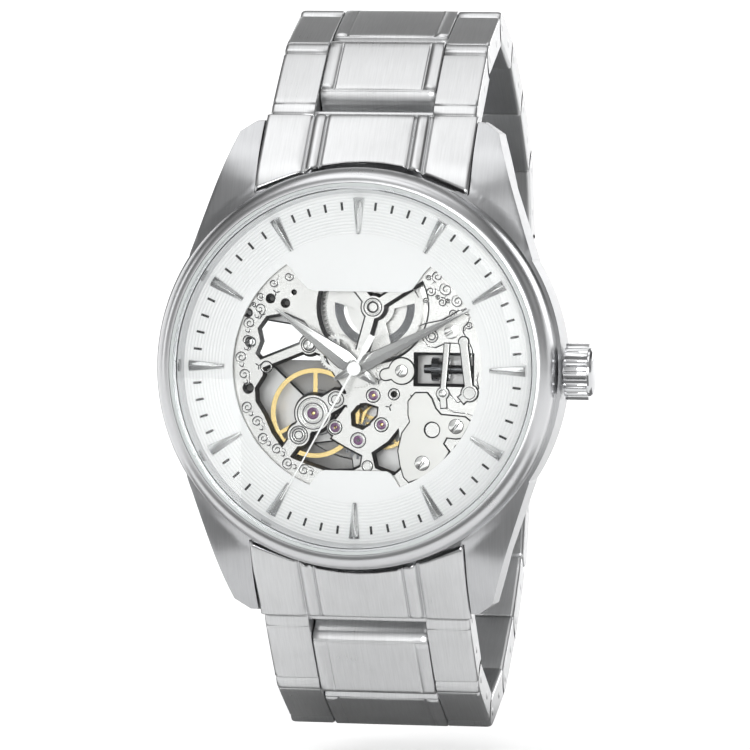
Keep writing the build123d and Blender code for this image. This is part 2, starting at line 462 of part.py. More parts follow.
# crown: fluted barrel with a domed end, pulled along +X
fl = Circle(CROWN_R)
for i in range(8):
    a = math.radians(22.5 + 45 * i)
    fl = fl - Pos((CROWN_R + 0.24) * math.cos(a), (CROWN_R + 0.24) * math.sin(a)) * Circle(0.64)
    a = math.radians(45 * i)
    fl = fl - Pos((CROWN_R + 0.06) * math.cos(a), (CROWN_R + 0.06) * math.sin(a)) * Circle(0.17)
cp = lambda x: Plane(origin=(x, STEM_Y, 0), x_dir=(0, 1, 0), z_dir=(1, 0, 0))
crown = extrude(cp(21.25) * fl, amount=2.35) + extrude(cp(21.2) * Circle(2.5), amount=2.5)
dome = revolve(Plane.XY * poly([(23.5, 0), (23.5, 2.5), (23.8, 2.5), (24.05, 2.3), (24.25, 1.7), (24.35, 0.9), (24.4, 0)]), Axis.X, 360)
crown = crown + Pos(0, STEM_Y, 0) * dome
crown = crown - rod_x(1.75, 21.0, 23.0, y=STEM_Y) - rod_x(0.45, 22.9, 23.6, y=STEM_Y)
save("crown", crown)
save("crown_gasket", rod_x(1.72, 21.6, 22.2, y=STEM_Y) - rod_x(1.34, 21.0, 23.0, y=STEM_Y))

# ---------------------------------------------------------------- spacer, rotor, back
ring = tube(16.45, MOVT_R + 0.05, -2.4, -7.98)
ring = ring - rod_x(0.9, 12.0, 18.0, y=STEM_Y)
save("movement_ring", ring)
rot2 = (Circle(12.3) - Circle(9.6)) & poly([(-14, 0.6), (14, 0.6), (14, -14), (-14, -14)])
rot3 = (Circle(10.2) & poly([(-14, 0.6), (14, 0.6), (14, -14), (-14, -14)])) + Circle(2.2)
for x in (-5.2, 0, 5.2):
    rot3 = rot3 - Pos(x, -6.4 + abs(x) * 0.25) * Circle(1.6)
rotor = slab(rot2, -1.6, -2.65) + slab(rot3, -1.6, -1.95) 
rotor = rotor - disc(1.35, -1.0, -3.0)
# the rotor's ball bearing is its own solid at the hub
bearing = tube(1.33, 0.25, -1.6, -2.2) + disc(0.9, -2.2, -2.93) - disc(0.25, -1.0, -2.6)
save("rotor", rotor, bearing)
back = spin([(14.2, 0), (17.9, 0), (18.4, -0.35), (18.4, -0.98), (16.4, -0.98), (16.4, -2.2), (15.4, -2.2), (15.4, -1.3), (14.2, -1.3)])
save("case_back", back)
save("back_glass", disc(14.15, 0.0, -1.25))

# ---------------------------------------------------------------- end links and spring bars
def end_link(name, sign, pin):
    z = lambda v: sign * v
    # side view (y, z) for the upper one: front face follows the lugs, heel follows the case flank
    pl = Plane(origin=(0, 0, 0), x_dir=(0, 1, 0), z_dir=(1, 0, 0))
    py, pz = pin[0], abs(pin[1])
    # tangent at the pin
    a, b = (PINS_T[0], PINS_T[1]) if sign > 0 else ((PINS_B[0][0], -PINS_B[0][1]), (PINS_B[1][0], -PINS_B[1][1]))
    t = (b[0] - a[0], b[1] - a[1]); m = math.hypot(*t); t = (t[0] / m, t[1] / m); n = (-t[1], t[0])
    P = lambda u, v: (py + t[0] * u + n[0] * v, pz + t[1] * u + n[1] * v)
    side = [(-7.0, 18.6), (-4.3, 22.0), P(-1.9, LINK_T), P(-1.9, -LINK_T), (1.2, 22.0), (-1.5, 20.9), (-5.0, 20.6)]
    mid = [(-7.4, 18.6), (-5.0, 22.0), P(-1.9, LINK_T + 0.3), P(0, LINK_T), P(0, -LINK_T), P(-1.9, -LINK_T), (1.2, 22.0), (-1.5, 20.9), (-5.0, 20.6)]
    def up(pts):
        return poly([(p[0], z(p[1])) for p in pts])
    sk_side = up(side) - Pos(py, z(pz)) * Circle(KN_R + KN_GAP)
    sk_mid = up(mid) + Pos(py, z(pz)) * Circle(LINK_T)
    hole = Pos(SPRING[0], z(SPRING[1])) * Circle(0.8)
    run = Pos(py, z(pz)) * Circle(PIN_R + 0.05)
    out = []
    s1 = across(sk_side - hole, pl, MID_HW, LINK_HW + 0.25) + across(sk_side - hole, pl, -LINK_HW - 0.25, -MID_HW)
    m1 = across(sk_mid - hole - run, pl, -MID_HW, MID_HW)
    whole = s1 + m1
    # hollow that follows the round case and the bezel
    whole = whole - disc(21.25, 8.0, -9.0)
    sol = sorted(whole.solids(), key=lambda s: -s.volume)
    return sol[0]


e12 = end_link("end_link_12", 1, PINS_T[0])
e6 = end_link("end_link_6", -1, PINS_B[0])
save("end_links", e12, e6)
bars = []
for s in (1, -1):
    bars.append(rod_x(0.75, -10.6, 10.6, y=SPRING[0], z=s * SPRING[1]) + rod_x(0.4, -12.2, 12.2, y=SPRING[0], z=s * SPRING[1]))
save("spring_bars", *bars)

# ---------------------------------------------------------------- bracelet rows
OPEN_AT = 5   # the closed loop is opened at this row's first pin on the six-o'clock side
for i in range(ROWS):
    link_row(f"link_12_{i + 1}", PINS_T[i], PINS_T[i + 1], 1, last=i == ROWS - 1)
    link_row(f"link_6_{i + 1}", PINS_B[i], PINS_B[i + 1], -1, last=i == ROWS - 1, open_start=i == OPEN_AT, open_end=i == OPEN_AT - 1)

# ---------------------------------------------------------------- butterfly clasp
def dense(pts):
    out = []
    for a, b in zip(pts, pts[1:]):
        out += [(a[0] + (b[0] - a[0]) * j / 48, a[1] + (b[1] - a[1]) * j / 48) for j in range(48)]
    return out + [pts[-1]]


POLY_T = dense(PINS_T + [(PINS_T[-1][0], 0.0)])
POLY_B = dense(PINS_B + [(PINS_B[-1][0], 0.0)])


def strip(offset0, offset1, z0, z1, sign):
    src = POLY_T if sign > 0 else POLY_B
    a = offset_line(src, offset0, sign)
    b = offset_line(src, offset1, sign)
    lo, hi = min(z0, z1), max(z0, z1)
    pa = [q for q in a if lo <= q[1] <= hi][::6]
    pb_ = [q for q in b if lo <= q[1] <= hi][::6]
    return pa + pb_[::-1]


YZ = Plane(origin=(0, 0, 0), x_dir=(0, 1, 0), z_dir=(1, 0, 0))
HZ = 15.6   # z of the clasp's outer hinges
hy_t = [q for q in offset_line(POLY_T, 3.45, 1) if q[1] >= HZ][-1]
hy_b = [q for q in offset_line(POLY_B, 3.45, -1) if q[1] <= -HZ][-1]
HING_T, HING_B = (hy_t[0], hy_t[1]), (hy_b[0], hy_b[1])
print("clasp hinges", HING_T, HING_B)


def arm(name, sign, pin_end, hinge, open_cup):
    wide = poly(strip(2.3, 3.2, sign * 0.4, sign * (HZ - 1.9), sign))
    neck = poly(strip(2.3, 3.2, sign * 6.0, sign * (HZ - 0.2), sign))
    knuckle = Pos(hinge[0], hinge[1]) * Circle(1.1)
    run = Pos(hinge[0], hinge[1]) * Circle(PIN_R + 0.05)
    ear = Pos(pin_end[0] - 1.5, pin_end[1]) * Rectangle(3.2, 2.2)
    if open_cup:
        ear = ear - Pos(pin_end[0], pin_end[1]) * Circle(PIN_R + 0.3) - Pos(pin_end[0] + 1.0, pin_end[1]) * Rectangle(2.0, 2 * (PIN_R + 0.3))
    else:
        ear = ear + Pos(pin_end[0], pin_end[1]) * Circle(1.1) - Pos(pin_end[0], pin_end[1]) * Circle(PIN_R + 0.05)
    solid = across(wide - run, YZ, -4.8, 4.8) + across(neck + knuckle - run, YZ, -2.4, 2.4) + across(ear, YZ, -2.5, 2.5)
    solid = solid - rod_x(PIN_R + 0.05, -3, 3, y=hinge[0], z=hinge[1])
    save(name, max(solid.solids(), key=lambda s: s.volume))


arm("clasp_arm_12", 1, PINS_T[-1], HING_T, False)
arm("clasp_arm_6", -1, PINS_B[-1], HING_B, True)
plate_t = strip(3.55, 4.55, 0.0, HZ - 1.5, 1)
plate_b = strip(3.55, 4.55, 0.0, -(HZ - 1.5), -1)
base = across(poly(plate_t), YZ, -4.8, 4.8) + across(poly(plate_b), YZ, -4.8, 4.8)
for h, s in ((HING_T, 1), (HING_B, -1)):
    ears = Pos(*h) * Circle(1.1) + poly([(h[0] - 1.1, h[1]), (h[0] - 1.1, h[1] - s * 2.6), (h[0] - 0.1, h[1] - s * 2.6), (h[0] + 0.6, h[1])])
    base = base + across(ears, YZ, 2.55, 4.8) + across(ears, YZ, -4.8, -2.55)
    base = base - rod_x(PIN_R, -4.4, 4.4, y=h[0], z=h[1])
yb = 47.8 - LINK_T - 0.1
base = base + extrude(Plane(origin=(0, yb - 4.55, 0), x_dir=(1, 0, 0), z_dir=(0, 1, 0)) * (Rectangle(16.8, 6.4)), amount=1.0)
for s in (1, -1):
    blk = extrude(Plane(origin=(s * 6.8, yb - 4.55, 0), x_dir=(1, 0, 0), z_dir=(0, 1, 0)) * Rectangle(3.2, 6.4), amount=2.25)
    base = base + blk
base = base - rod_x(0.66, -8.5, -5.8, y=yb - 3.3) - rod_x(0.66, 5.8, 8.5, y=yb - 3.3)
save("clasp_base", base, rod_x(PIN_R, -4.4, 4.4, y=HING_T[0], z=HING_T[1]), rod_x(PIN_R, -4.4, 4.4, y=HING_B[0], z=HING_B[1]))
for s, nm in ((1, "button_right"), (-1, "button_left")):
    cap = extrude(Plane(origin=(s * 10.15, yb - 4.3, 0), x_dir=(1, 0, 0), z_dir=(0, 1, 0)) * RectangleRounded(1.7, 5.6, 0.5), amount=2.0)
    st = rod_x(0.6, 7.2, 9.5, y=yb - 3.3) if s > 0 else rod_x(0.6, -9.5, -7.2, y=yb - 3.3)
    save(nm, cap + st)
print("nodes", len([f for f in os.listdir("parts") if f.endswith(".step")]))
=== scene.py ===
import json
import math
import random
import bpy
import bmesh
import numpy as np
from mathutils import Matrix, Vector

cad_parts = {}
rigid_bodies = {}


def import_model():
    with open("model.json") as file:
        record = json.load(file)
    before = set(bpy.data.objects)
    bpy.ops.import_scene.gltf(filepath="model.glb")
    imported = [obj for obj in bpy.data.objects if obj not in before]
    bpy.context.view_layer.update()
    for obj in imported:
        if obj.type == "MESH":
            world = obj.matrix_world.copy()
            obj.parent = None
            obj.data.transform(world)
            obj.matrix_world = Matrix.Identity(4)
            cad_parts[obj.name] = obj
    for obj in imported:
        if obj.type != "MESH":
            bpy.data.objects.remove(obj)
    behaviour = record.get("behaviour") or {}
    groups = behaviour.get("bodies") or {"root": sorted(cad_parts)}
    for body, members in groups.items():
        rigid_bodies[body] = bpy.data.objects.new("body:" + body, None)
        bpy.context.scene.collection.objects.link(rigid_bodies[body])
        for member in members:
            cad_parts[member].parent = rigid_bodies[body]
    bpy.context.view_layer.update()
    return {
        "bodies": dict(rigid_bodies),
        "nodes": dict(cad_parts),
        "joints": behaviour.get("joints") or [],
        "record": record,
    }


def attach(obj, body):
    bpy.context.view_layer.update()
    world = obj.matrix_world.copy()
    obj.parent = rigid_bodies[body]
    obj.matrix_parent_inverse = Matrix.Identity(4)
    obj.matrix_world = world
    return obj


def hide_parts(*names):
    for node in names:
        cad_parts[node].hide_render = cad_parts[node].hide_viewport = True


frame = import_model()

MM = 0.001
NODES = frame["nodes"]
BODY = {n: b for b, ns in frame["record"]["behaviour"]["bodies"].items() for n in ns}
SC = bpy.context.scene
COL = SC.collection


# ------------------------------------------------------------------ camera, from the fitted view
def set_camera():
    yaw, pitch, roll = (math.radians(v) for v in (9.36, 1.45, 0.78))
    s, u0, v0, D = 9.799, 356.51, 368.46, 0.5944
    cy, sy, cp, sp, cr, sr = math.cos(yaw), math.sin(yaw), math.cos(pitch), math.sin(pitch), math.cos(roll), math.sin(roll)
    back = Vector((sy * cp, -cy * cp, sp))
    right = Vector((cy, sy, 0))
    up = back.cross(right)
    cx = right * cr + up * sr
    cyv = -right * sr + up * cr
    cam = bpy.data.cameras.new("camera")
    cam.sensor_width = 36
    cam.lens = s * D * 1000 / 750 * 36
    cam.shift_x = (375 - u0) / 750
    cam.shift_y = -(375 - v0) / 750
    cam.clip_start, cam.clip_end = 0.01, 20
    ob = bpy.data.objects.new("camera", cam)
    COL.objects.link(ob)
    pos = Vector((0, -0.0084, 0)) + back * D
    ob.matrix_world = Matrix(((cx.x, cyv.x, back.x, pos.x), (cx.y, cyv.y, back.y, pos.y), (cx.z, cyv.z, back.z, pos.z), (0, 0, 0, 1)))
    SC.camera = ob


set_camera()


# ------------------------------------------------------------------ materials
class N:
    """A small helper that builds node trees."""
    def __init__(self, name):
        self.m = bpy.data.materials.new(name)
        self.m.use_nodes = True
        self.t = self.m.node_tree
        self.t.nodes.clear()
        self.out = self.t.nodes.new("ShaderNodeOutputMaterial")
        self.p = self.t.nodes.new("ShaderNodeBsdfPrincipled")
        self.t.links.new(self.p.outputs[0], self.out.inputs[0])

    def new(self, kind, **k):
        n = self.t.nodes.new(kind)
        for a, v in k.items():
            setattr(n, a, v)
        return n

    def link(self, a, b):
        self.t.links.new(a, b)

    def coords(self, scale=(1, 1, 1), rot=(0, 0, 0)):
        tc = self.new("ShaderNodeTexCoord")
        mp = self.new("ShaderNodeMapping")
        mp.inputs["Scale"].default_value = scale
        mp.inputs["Rotation"].default_value = rot
        self.link(tc.outputs["Object"], mp.inputs[0])
        return mp.outputs[0]

    def noise(self, vec, scale, detail=3, rough=0.6):
        n = self.new("ShaderNodeTexNoise")
        n.inputs["Scale"].default_value = scale
        n.inputs["Detail"].default_value = detail
        n.inputs["Roughness"].default_value = rough
        self.link(vec, n.inputs["Vector"])
        return n.outputs["Fac"]

    def math(self, op, a, b=None, c=None, clamp=False):
        n = self.new("ShaderNodeMath", operation=op, use_clamp=clamp)
        for i, v in enumerate((a, b, c)):
            if v is None:
                continue
            if isinstance(v, (int, float)):
                n.inputs[i].default_value = v
            else:
                self.link(v, n.inputs[i])
        return n.outputs[0]

    def ramp(self, fac, stops):
        n = self.new("ShaderNodeValToRGB")
        cr = n.color_ramp
        while len(cr.elements) < len(stops):
            cr.elements.new(0.5)
        for e, (p, c) in zip(cr.elements, stops):
            e.position = p
            e.color = (*c, 1) if len(c) == 3 else c
        self.link(fac, n.inputs[0])
        return n.outputs[0]

    def remap(self, v, lo, hi):
        n = self.new("ShaderNodeMapRange")
        n.inputs["To Min"].default_value = lo
        n.inputs["To Max"].default_value = hi
        self.link(v, n.inputs[0])
        return n.outputs[0]

    def bump(self, h, strength, dist, prev=None):
        n = self.new("ShaderNodeBump")
        n.inputs["Strength"].default_value = strength
        n.inputs["Distance"].default_value = dist
        self.link(h, n.inputs["Height"])
        if prev is not None:
            self.link(prev, n.inputs["Normal"])
        return n.outputs[0]


MATS = {}


def brushed(name, base, rough=(0.26, 0.42), stretch=(1, 1, 1), dens=9000, bump=0.25, var=0.05, metallic=1.0):
    """Brushed metal: fine scratches along one axis, with slow variation in tone and gloss."""
    m = N(name)
    v = m.coords(stretch)
    fine = m.noise(v, dens, 4, 0.65)
    v2 = m.coords((1, 1, 1))
    slow = m.noise(v2, 180, 3, 0.5)
    col = m.ramp(m.math("ADD", m.math("MULTIPLY", fine, 0.6), m.math("MULTIPLY", slow, 0.4)), [(0.3, tuple(c * (1 - var) for c in base)), (0.7, tuple(min(1, c * (1 + var)) for c in base))])
    m.link(col, m.p.inputs["Base Color"])
    m.link(m.remap(m.math("ADD", m.math("MULTIPLY", fine, 0.5), m.math("MULTIPLY", slow, 0.5)), rough[0], rough[1]), m.p.inputs["Roughness"])
    m.link(m.bump(fine, bump, 0.00002), m.p.inputs["Normal"])
    m.p.inputs["Metallic"].default_value = metallic
    MATS[name] = m.m
    return m


def polished(name, base, rough=(0.04, 0.12), scratch=0.05, metallic=1.0):
    """Polished metal with hairline scratches and faint handling marks."""
    m = N(name)
    v = m.coords((1, 1, 1))
    slow = m.noise(v, 260, 4, 0.6)
    hair = m.noise(m.coords((12, 12, 0.6), (0.3, 0.6, 0.2)), 2400, 3, 0.6)
    col = m.ramp(slow, [(0.3, tuple(c * 0.97 for c in base)), (0.7, base)])
    m.link(col, m.p.inputs["Base Color"])
    m.link(m.remap(slow, rough[0], rough[1]), m.p.inputs["Roughness"])
    m.link(m.bump(hair, scratch, 0.000006), m.p.inputs["Normal"])
    m.p.inputs["Metallic"].default_value = metallic
    MATS[name] = m.m
    return m


STEEL = (0.56, 0.565, 0.575)
brushed("steel_brushed_v", (0.50, 0.505, 0.515), (0.26, 0.36), (1, 0.04, 0.04), 7000, 0.12, 0.10)
brushed("steel_brushed_link", (0.60, 0.605, 0.61), (0.24, 0.34), (1, 0.04, 0.04), 7000, 0.12, 0.10)
# near-black finish that paints shade in the bracelet's V-grooves, on the socket walls round the knuckles and in the pin
# gaps
m = brushed("groove", (0.014, 0.014, 0.015), (0.5, 0.65), (1, 1, 1), 5000, 0.2, 0.3, 0.0)
m.p.inputs["Specular IOR Level"].default_value = 0.2
brushed("steel_brushed_mid", (0.70, 0.705, 0.71), (0.22, 0.34), (16, 1, 1), 5200, 0.25)
brushed("steel_clasp", (0.50, 0.505, 0.515), (0.26, 0.38), (1, 0.04, 0.04), 7000, 0.12, 0.10)
polished("steel_polished", (0.64, 0.645, 0.655), (0.06, 0.14))
polished("bezel_steel", (0.62, 0.625, 0.635), (0.25, 0.32), 0.03)
polished("nickel_polished", (0.86, 0.855, 0.84), (0.06, 0.14))
# near-black finish that paints shade: on the walls of openings, the sloped flanks and the dark outline and groove lines
# of the movement
m = brushed("dark_wall", (0.022, 0.022, 0.023), (0.5, 0.65), (1, 8, 1), 5000, 0.2, 0.3, 0.0)
m.p.inputs["Specular IOR Level"].default_value = 0.25
# dark steel that paints the shade on the sloped flanks inside the main plate's openings
brushed("wall_steel", (0.075, 0.075, 0.078), (0.3, 0.5), (1, 8, 1), 3000, 0.3, 0.4)
# dark finish of the engraved lines: painted shade of the cuts
brushed("engraving", (0.11, 0.11, 0.11), (0.35, 0.5), (1, 1, 1), 6000, 0.2, 0.3)
brushed("nickel_back", (0.58, 0.575, 0.57), (0.22, 0.36), (1, 1, 10), 5200, 0.25, 0.08)
brushed("steel_side", (0.50, 0.505, 0.515), (0.22, 0.34), (0.5, 1, 1), 4200, 0.06, 0.06)
brushed("seal_clear", (0.55, 0.58, 0.575), (0.25, 0.4), (1, 1, 1), 3000, 0.1, 0.05, 0.0)
polished("marker_metal", (0.86, 0.86, 0.86), (0.2, 0.3))
polished("hand_metal", (0.90, 0.90, 0.895), (0.2, 0.3))
brushed("nickel", (0.72, 0.715, 0.70), (0.2, 0.32), (0.15, 1, 1), 5200, 0.10, 0.06)
brushed("rotor_grey", (0.30, 0.295, 0.29), (0.25, 0.4), (1, 1, 0.1), 5200, 0.15, 0.1)
brushed("nickel_cover", (0.66, 0.655, 0.635), (0.25, 0.36), (1, 1, 1), 9000, 0.18, 0.03)
brushed("gilt", (0.86, 0.66, 0.30), (0.16, 0.28), (1, 1, 6), 7000, 0.2, 0.06)
brushed("dark_steel", (0.16, 0.165, 0.175), (0.16, 0.3), (6, 1, 1), 6000, 0.2, 0.1)
brushed("spacer", (0.62, 0.62, 0.62), (0.45, 0.6), (1, 1, 1), 3000, 0.2, 0.04, 0.0)
brushed("rubber", (0.03, 0.03, 0.033), (0.5, 0.7), (1, 1, 1), 3000, 0.3, 0.1, 0.0)
m = brushed("ruby", (0.15, 0.055, 0.15), (0.05, 0.12), (1, 1, 1), 900, 0.02, 0.25, 0.0)
m.p.inputs["Coat Weight"].default_value = 1.0
brushed("ink", (0.012, 0.012, 0.013), (0.35, 0.5), (1, 1, 1), 6000, 0.2, 0.2, 0.0)


def dial_material():
    m = N("dial_silver")
    v = m.coords((1, 1, 1))
    sep = m.new("ShaderNodeSeparateXYZ")
    m.link(v, sep.inputs[0])
    x2 = m.math("MULTIPLY", sep.outputs[0], sep.outputs[0])
    z2 = m.math("MULTIPLY", sep.outputs[2], sep.outputs[2])
    r = m.math("SQRT", m.math("ADD", x2, z2))
    groove = m.math("SINE", m.math("MULTIPLY", r, 2 * math.pi / 0.00033))
    mask = m.math("MULTIPLY", m.math("GREATER_THAN", r, 0.01375), m.math("LESS_THAN", r, 0.0182))
    g = m.math("MULTIPLY", groove, mask)
    grain = m.noise(v, 9000, 3, 0.6)
    slow = m.noise(v, 120, 3, 0.5)
    tone = m.math("ADD", m.math("MULTIPLY", g, 0.10), m.math("ADD", m.math("MULTIPLY", grain, 0.25), m.math("MULTIPLY", slow, 0.08)))
    m.link(m.ramp(tone, [(0.06, (0.84, 0.84, 0.84)), (0.45, (0.98, 0.98, 0.975))]), m.p.inputs["Base Color"])
    m.link(m.remap(grain, 0.3, 0.42), m.p.inputs["Roughness"])
    b = m.bump(g, 0.5, 0.00003)
    m.link(m.bump(grain, 0.15, 0.000006, b), m.p.inputs["Normal"])
    MATS["dial_silver"] = m.m


dial_material()


def glass_material():
    m = N("crystal_glass")
    m.t.nodes.remove(m.p)
    tr = m.new("ShaderNodeBsdfTransparent")
    gl = m.new("ShaderNodeBsdfGlossy")
    gl.inputs["Roughness"].default_value = 0.02
    lw = m.new("ShaderNodeLayerWeight")
    lw.inputs["Blend"].default_value = 0.5
    sm = m.noise(m.coords((1, 1, 1)), 90, 2, 0.5)
    m.link(m.ramp(sm, [(0.3, (0.985, 0.99, 0.99)), (0.7, (0.99, 0.995, 0.995))]), tr.inputs[0])
    mx = m.new("ShaderNodeMixShader")
    m.link(m.math("MULTIPLY_ADD", m.math("POWER", lw.outputs["Facing"], 5.0), 0.6, 0.015), mx.inputs[0])
    m.link(tr.outputs[0], mx.inputs[1])
    m.link(gl.outputs[0], mx.inputs[2])
    m.link(mx.outputs[0], m.out.inputs[0])
    MATS["crystal_glass"] = m.m


glass_material()

NODE_MAT = {"case_body": "steel_brushed_v", "end_links": "steel_brushed_link", "case_back": "steel_brushed_v", "bezel": "steel_polished", "crown": "steel_polished",
            "spring_bars": "steel_polished", "rehaut": "steel_polished", "crystal": "crystal_glass", "back_glass": "crystal_glass", "crystal_gasket": "rubber", "crown_gasket": "rubber",
            "dial": "dial_silver", "hour_markers": "marker_metal", "hour_hand": "hand_metal", "minute_hand": "hand_metal", "seconds_hand": "hand_metal",
            "centre_wheel": "gilt", "third_wheel": "gilt", "fourth_wheel": "gilt", "balance_wheel": "gilt", "hour_wheel": "nickel", "keyless_cover": "nickel_cover",
            "mainspring": "dark_steel", "hairspring": "dark_steel", "escape_wheel": "dark_steel", "pallet_fork": "dark_steel", "stem": "dark_steel", "sliding_pinion": "dark_steel",
            "jewels": "ruby", "movement_ring": "spacer"}
for i in range(1, 8):
    NODE_MAT[f"link_12_{i}"] = NODE_MAT[f"link_6_{i}"] = "steel_brushed_link"
for n in ("clasp_arm_12", "clasp_arm_6", "clasp_base", "button_left", "button_right"):
    NODE_MAT[n] = "steel_clasp"
for n, o in NODES.items():
    mat = MATS[NODE_MAT.get(n, "nickel")]
    o.data.materials.clear()
    o.data.materials.append(mat)


# ------------------------------------------------------------------ mesh helpers
def place(name, me, mat, body, node=None):
    o = bpy.data.objects.new(name, me)
    COL.objects.link(o)
    me.materials.clear()
    for one in ([mat] if isinstance(mat, str) else mat):
        me.materials.append(MATS[one])
    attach(o, body)
    if node:
        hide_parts(*([node] if isinstance(node, str) else node))
    return o


def smooth(me, angle=30):
    for p in me.polygons:
        p.use_smooth = True
    bm = bmesh.new()
    bm.from_mesh(me)
    for e in bm.edges:
        e.smooth = not (len(e.link_faces) == 2 and e.calc_face_angle(0) > math.radians(angle))
    bm.to_mesh(me)
    bm.free()


def evaluated(o):
    dg = bpy.context.evaluated_depsgraph_get()
    me = bpy.data.meshes.new_from_object(o.evaluated_get(dg))
    return me


LUG_Z = [13.0, 15.0, 18.2, 22.2, 25.3, 26.0]
LUG_Y = [-8.3, -8.0, -7.1, -4.3, -1.2, -0.5]


def lug_height(x, z):
    """Front face of a lug: the turned cone round the bezel runs smoothly into the slope towards the lug's tip."""
    r = math.hypot(x, z)
    cone = -7.3 + (r - 20.62) * 3.5 / 9.38
    slope = sum(float(np.interp(abs(z) + d, LUG_Z, LUG_Y)) for d in (-0.9, -0.45, 0.0, 0.45, 0.9)) / 5
    return 0.5 * (cone + slope + math.sqrt((cone - slope) ** 2 + 1.1 ** 2)) - 0.10


def blend_lugs(me):
    bm = bmesh.new()
    bm.from_mesh(me)
    inside = lambda f: f.normal.y < -0.45 and abs(f.calc_center_median().z) > 0.0125 and math.hypot(f.calc_center_median().x, f.calc_center_median().z) > 0.0207
    for _ in range(7):
        faces = [f for f in bm.faces if inside(f)]
        bmesh.ops.triangulate(bm, faces=faces)
        faces = [f for f in bm.faces if inside(f)]
        longest = {e for f in faces for e in f.edges if e.calc_length() > 0.0007}
        if not longest:
            break
        bmesh.ops.subdivide_edges(bm, edges=list(longest), cuts=1, use_grid_fill=False)
    bmesh.ops.triangulate(bm, faces=[f for f in bm.faces if inside(f)])
    for v in {v for f in bm.faces if inside(f) for v in f.verts}:
        x, y, z = (c / MM for c in v.co)
        r = math.hypot(x, z)
        if r < 20.8 or abs(z) > 25.2:
            continue
        w_ = min(1.0, (r - 20.8) / 0.8) * min(1.0, (25.2 - abs(z)) / 0.8)
        goal = lug_height(x, z)
        if abs(goal - y) < 1.2:
            v.co.y = (y + (max(goal, y) - y) * w_) * MM
    for f in bm.faces:
        f.smooth = True
    bm.to_mesh(me)
    bm.free()
    return me


def refine(node, width=0.04, seg=2, angle=25, mat=None, edge=None, name=None, facing=None, blend=None):
    """A copy of a node's mesh with its facets merged and its edges rounded. edge is the finish of the rounded edges, facing = (finish, test) repaints the faces whose normal passes the test."""
    me = NODES[node].data.copy()
    bm = bmesh.new()
    bm.from_mesh(me)
    bmesh.ops.remove_doubles(bm, verts=bm.verts, dist=2e-6)
    bmesh.ops.dissolve_limit(bm, angle_limit=math.radians(0.8), verts=bm.verts, edges=bm.edges)
    for f in bm.faces:
        f.smooth = True
    bm.to_mesh(me)
    bm.free()
    if blend:
        me = blend(me)
    mats = [mat or NODE_MAT.get(node, "nickel"), edge or mat or NODE_MAT.get(node, "nickel")]
    if facing:
        mats.append(facing[0])
    me.materials.clear()
    for one in mats:
        me.materials.append(MATS[one])
    if facing:
        for q in me.polygons:
            if facing[1](q.normal, q.center):
                q.material_index = 2
    tmp = bpy.data.objects.new("tmp", me)
    COL.objects.link(tmp)
    b = tmp.modifiers.new("b", "BEVEL")
    b.width = width * MM
    b.segments = seg
    b.limit_method = "ANGLE"
    b.angle_limit = math.radians(angle)
    b.use_clamp_overlap = True
    b.material = 1
    wn = tmp.modifiers.new("w", "WEIGHTED_NORMAL")
    wn.mode = "FACE_AREA"
    wn.weight = 100
    wn.keep_sharp = False
    out = evaluated(tmp)
    bpy.data.objects.remove(tmp)
    return place(name or node + "_fine", out, mats, BODY[node], node)


def lathe(name, prof, mat, body, node=None, seg=240, sharp=40, axis="y", centre=(0, 0, 0)):
    """Closed profile of (radius, position) in mm turned about an axis through centre."""
    n = len(prof)
    v, f = [], []
    for i in range(seg):
        a = 2 * math.pi * i / seg
        for r, h in prof:
            if axis == "y":
                v.append(((centre[0] + r * math.cos(a)) * MM, h * MM, (centre[2] + r * math.sin(a)) * MM))
            else:
                v.append((h * MM, (centre[1] + r * math.cos(a)) * MM, (centre[2] + r * math.sin(a)) * MM))
    for i in range(seg):
        j = (i + 1) % seg
        for k in range(n):
            l = (k + 1) % n
            f.append((i * n + k, i * n + l, j * n + l, j * n + k))
    me = bpy.data.meshes.new(name)
    me.from_pydata(v, [], f)
    bm = bmesh.new()
    bm.from_mesh(me)
    bmesh.ops.remove_doubles(bm, verts=bm.verts, dist=1e-7)
    bmesh.ops.dissolve_degenerate(bm, edges=bm.edges, dist=1e-8)
    bmesh.ops.recalc_face_normals(bm, faces=bm.faces)
    bm.to_mesh(me)
    bm.free()
    smooth(me, sharp)
    return place(name, me, mat, body, node)


def arc(cx, cy, r, a0, a1, n=8):
    return [(cx + r * math.cos(math.radians(a0 + (a1 - a0) * i / n)), cy + r * math.sin(math.radians(a0 + (a1 - a0) * i / n))) for i in range(n + 1)]


def plate2d(name, loops, back, front, mat, body, slot_name, node=None, bev=0.03, centre=(0, 0), seg=2, sharp=35):
    """Flat piece from outlines in X and Z (mm), the first outer and the rest holes, with rounded edges."""
    cu = bpy.data.curves.new(name, "CURVE")
    cu.dimensions = "2D"
    cu.fill_mode = "BOTH"
    for lp in loops:
        sp = cu.splines.new("POLY")
        sp.points.add(len(lp) - 1)
        for p, (x, z) in zip(sp.points, lp):
            p.co = (x + centre[0], z + centre[1], 0, 1)
        sp.use_cyclic_u = True
    h = abs(back - front) / 2
    cu.extrude = h - bev
    cu.bevel_depth = bev
    cu.bevel_resolution = seg
    cu.offset = -bev
    tmp = bpy.data.objects.new("tmp", cu)
    COL.objects.link(tmp)
    me = evaluated(tmp)
    bpy.data.objects.remove(tmp)
    mid = (back + front) / 2
    me.transform(Matrix(((MM, 0, 0, 0), (0, 0, -MM, mid * MM), (0, MM, 0, 0), (0, 0, 0, 1))))
    bm = bmesh.new()
    bm.from_mesh(me)
    bmesh.ops.remove_doubles(bm, verts=bm.verts, dist=1e-7)
    bmesh.ops.recalc_face_normals(bm, faces=bm.faces)
    bm.to_mesh(me)
    bm.free()
    smooth(me, sharp)
    return place(name, me, mat, body, node)


def ring_pts(r, n=64, c=(0, 0), a0=0.0):
    return [(c[0] + r * math.cos(a0 + 2 * math.pi * i / n), c[1] + r * math.sin(a0 + 2 * math.pi * i / n)) for i in range(n)]


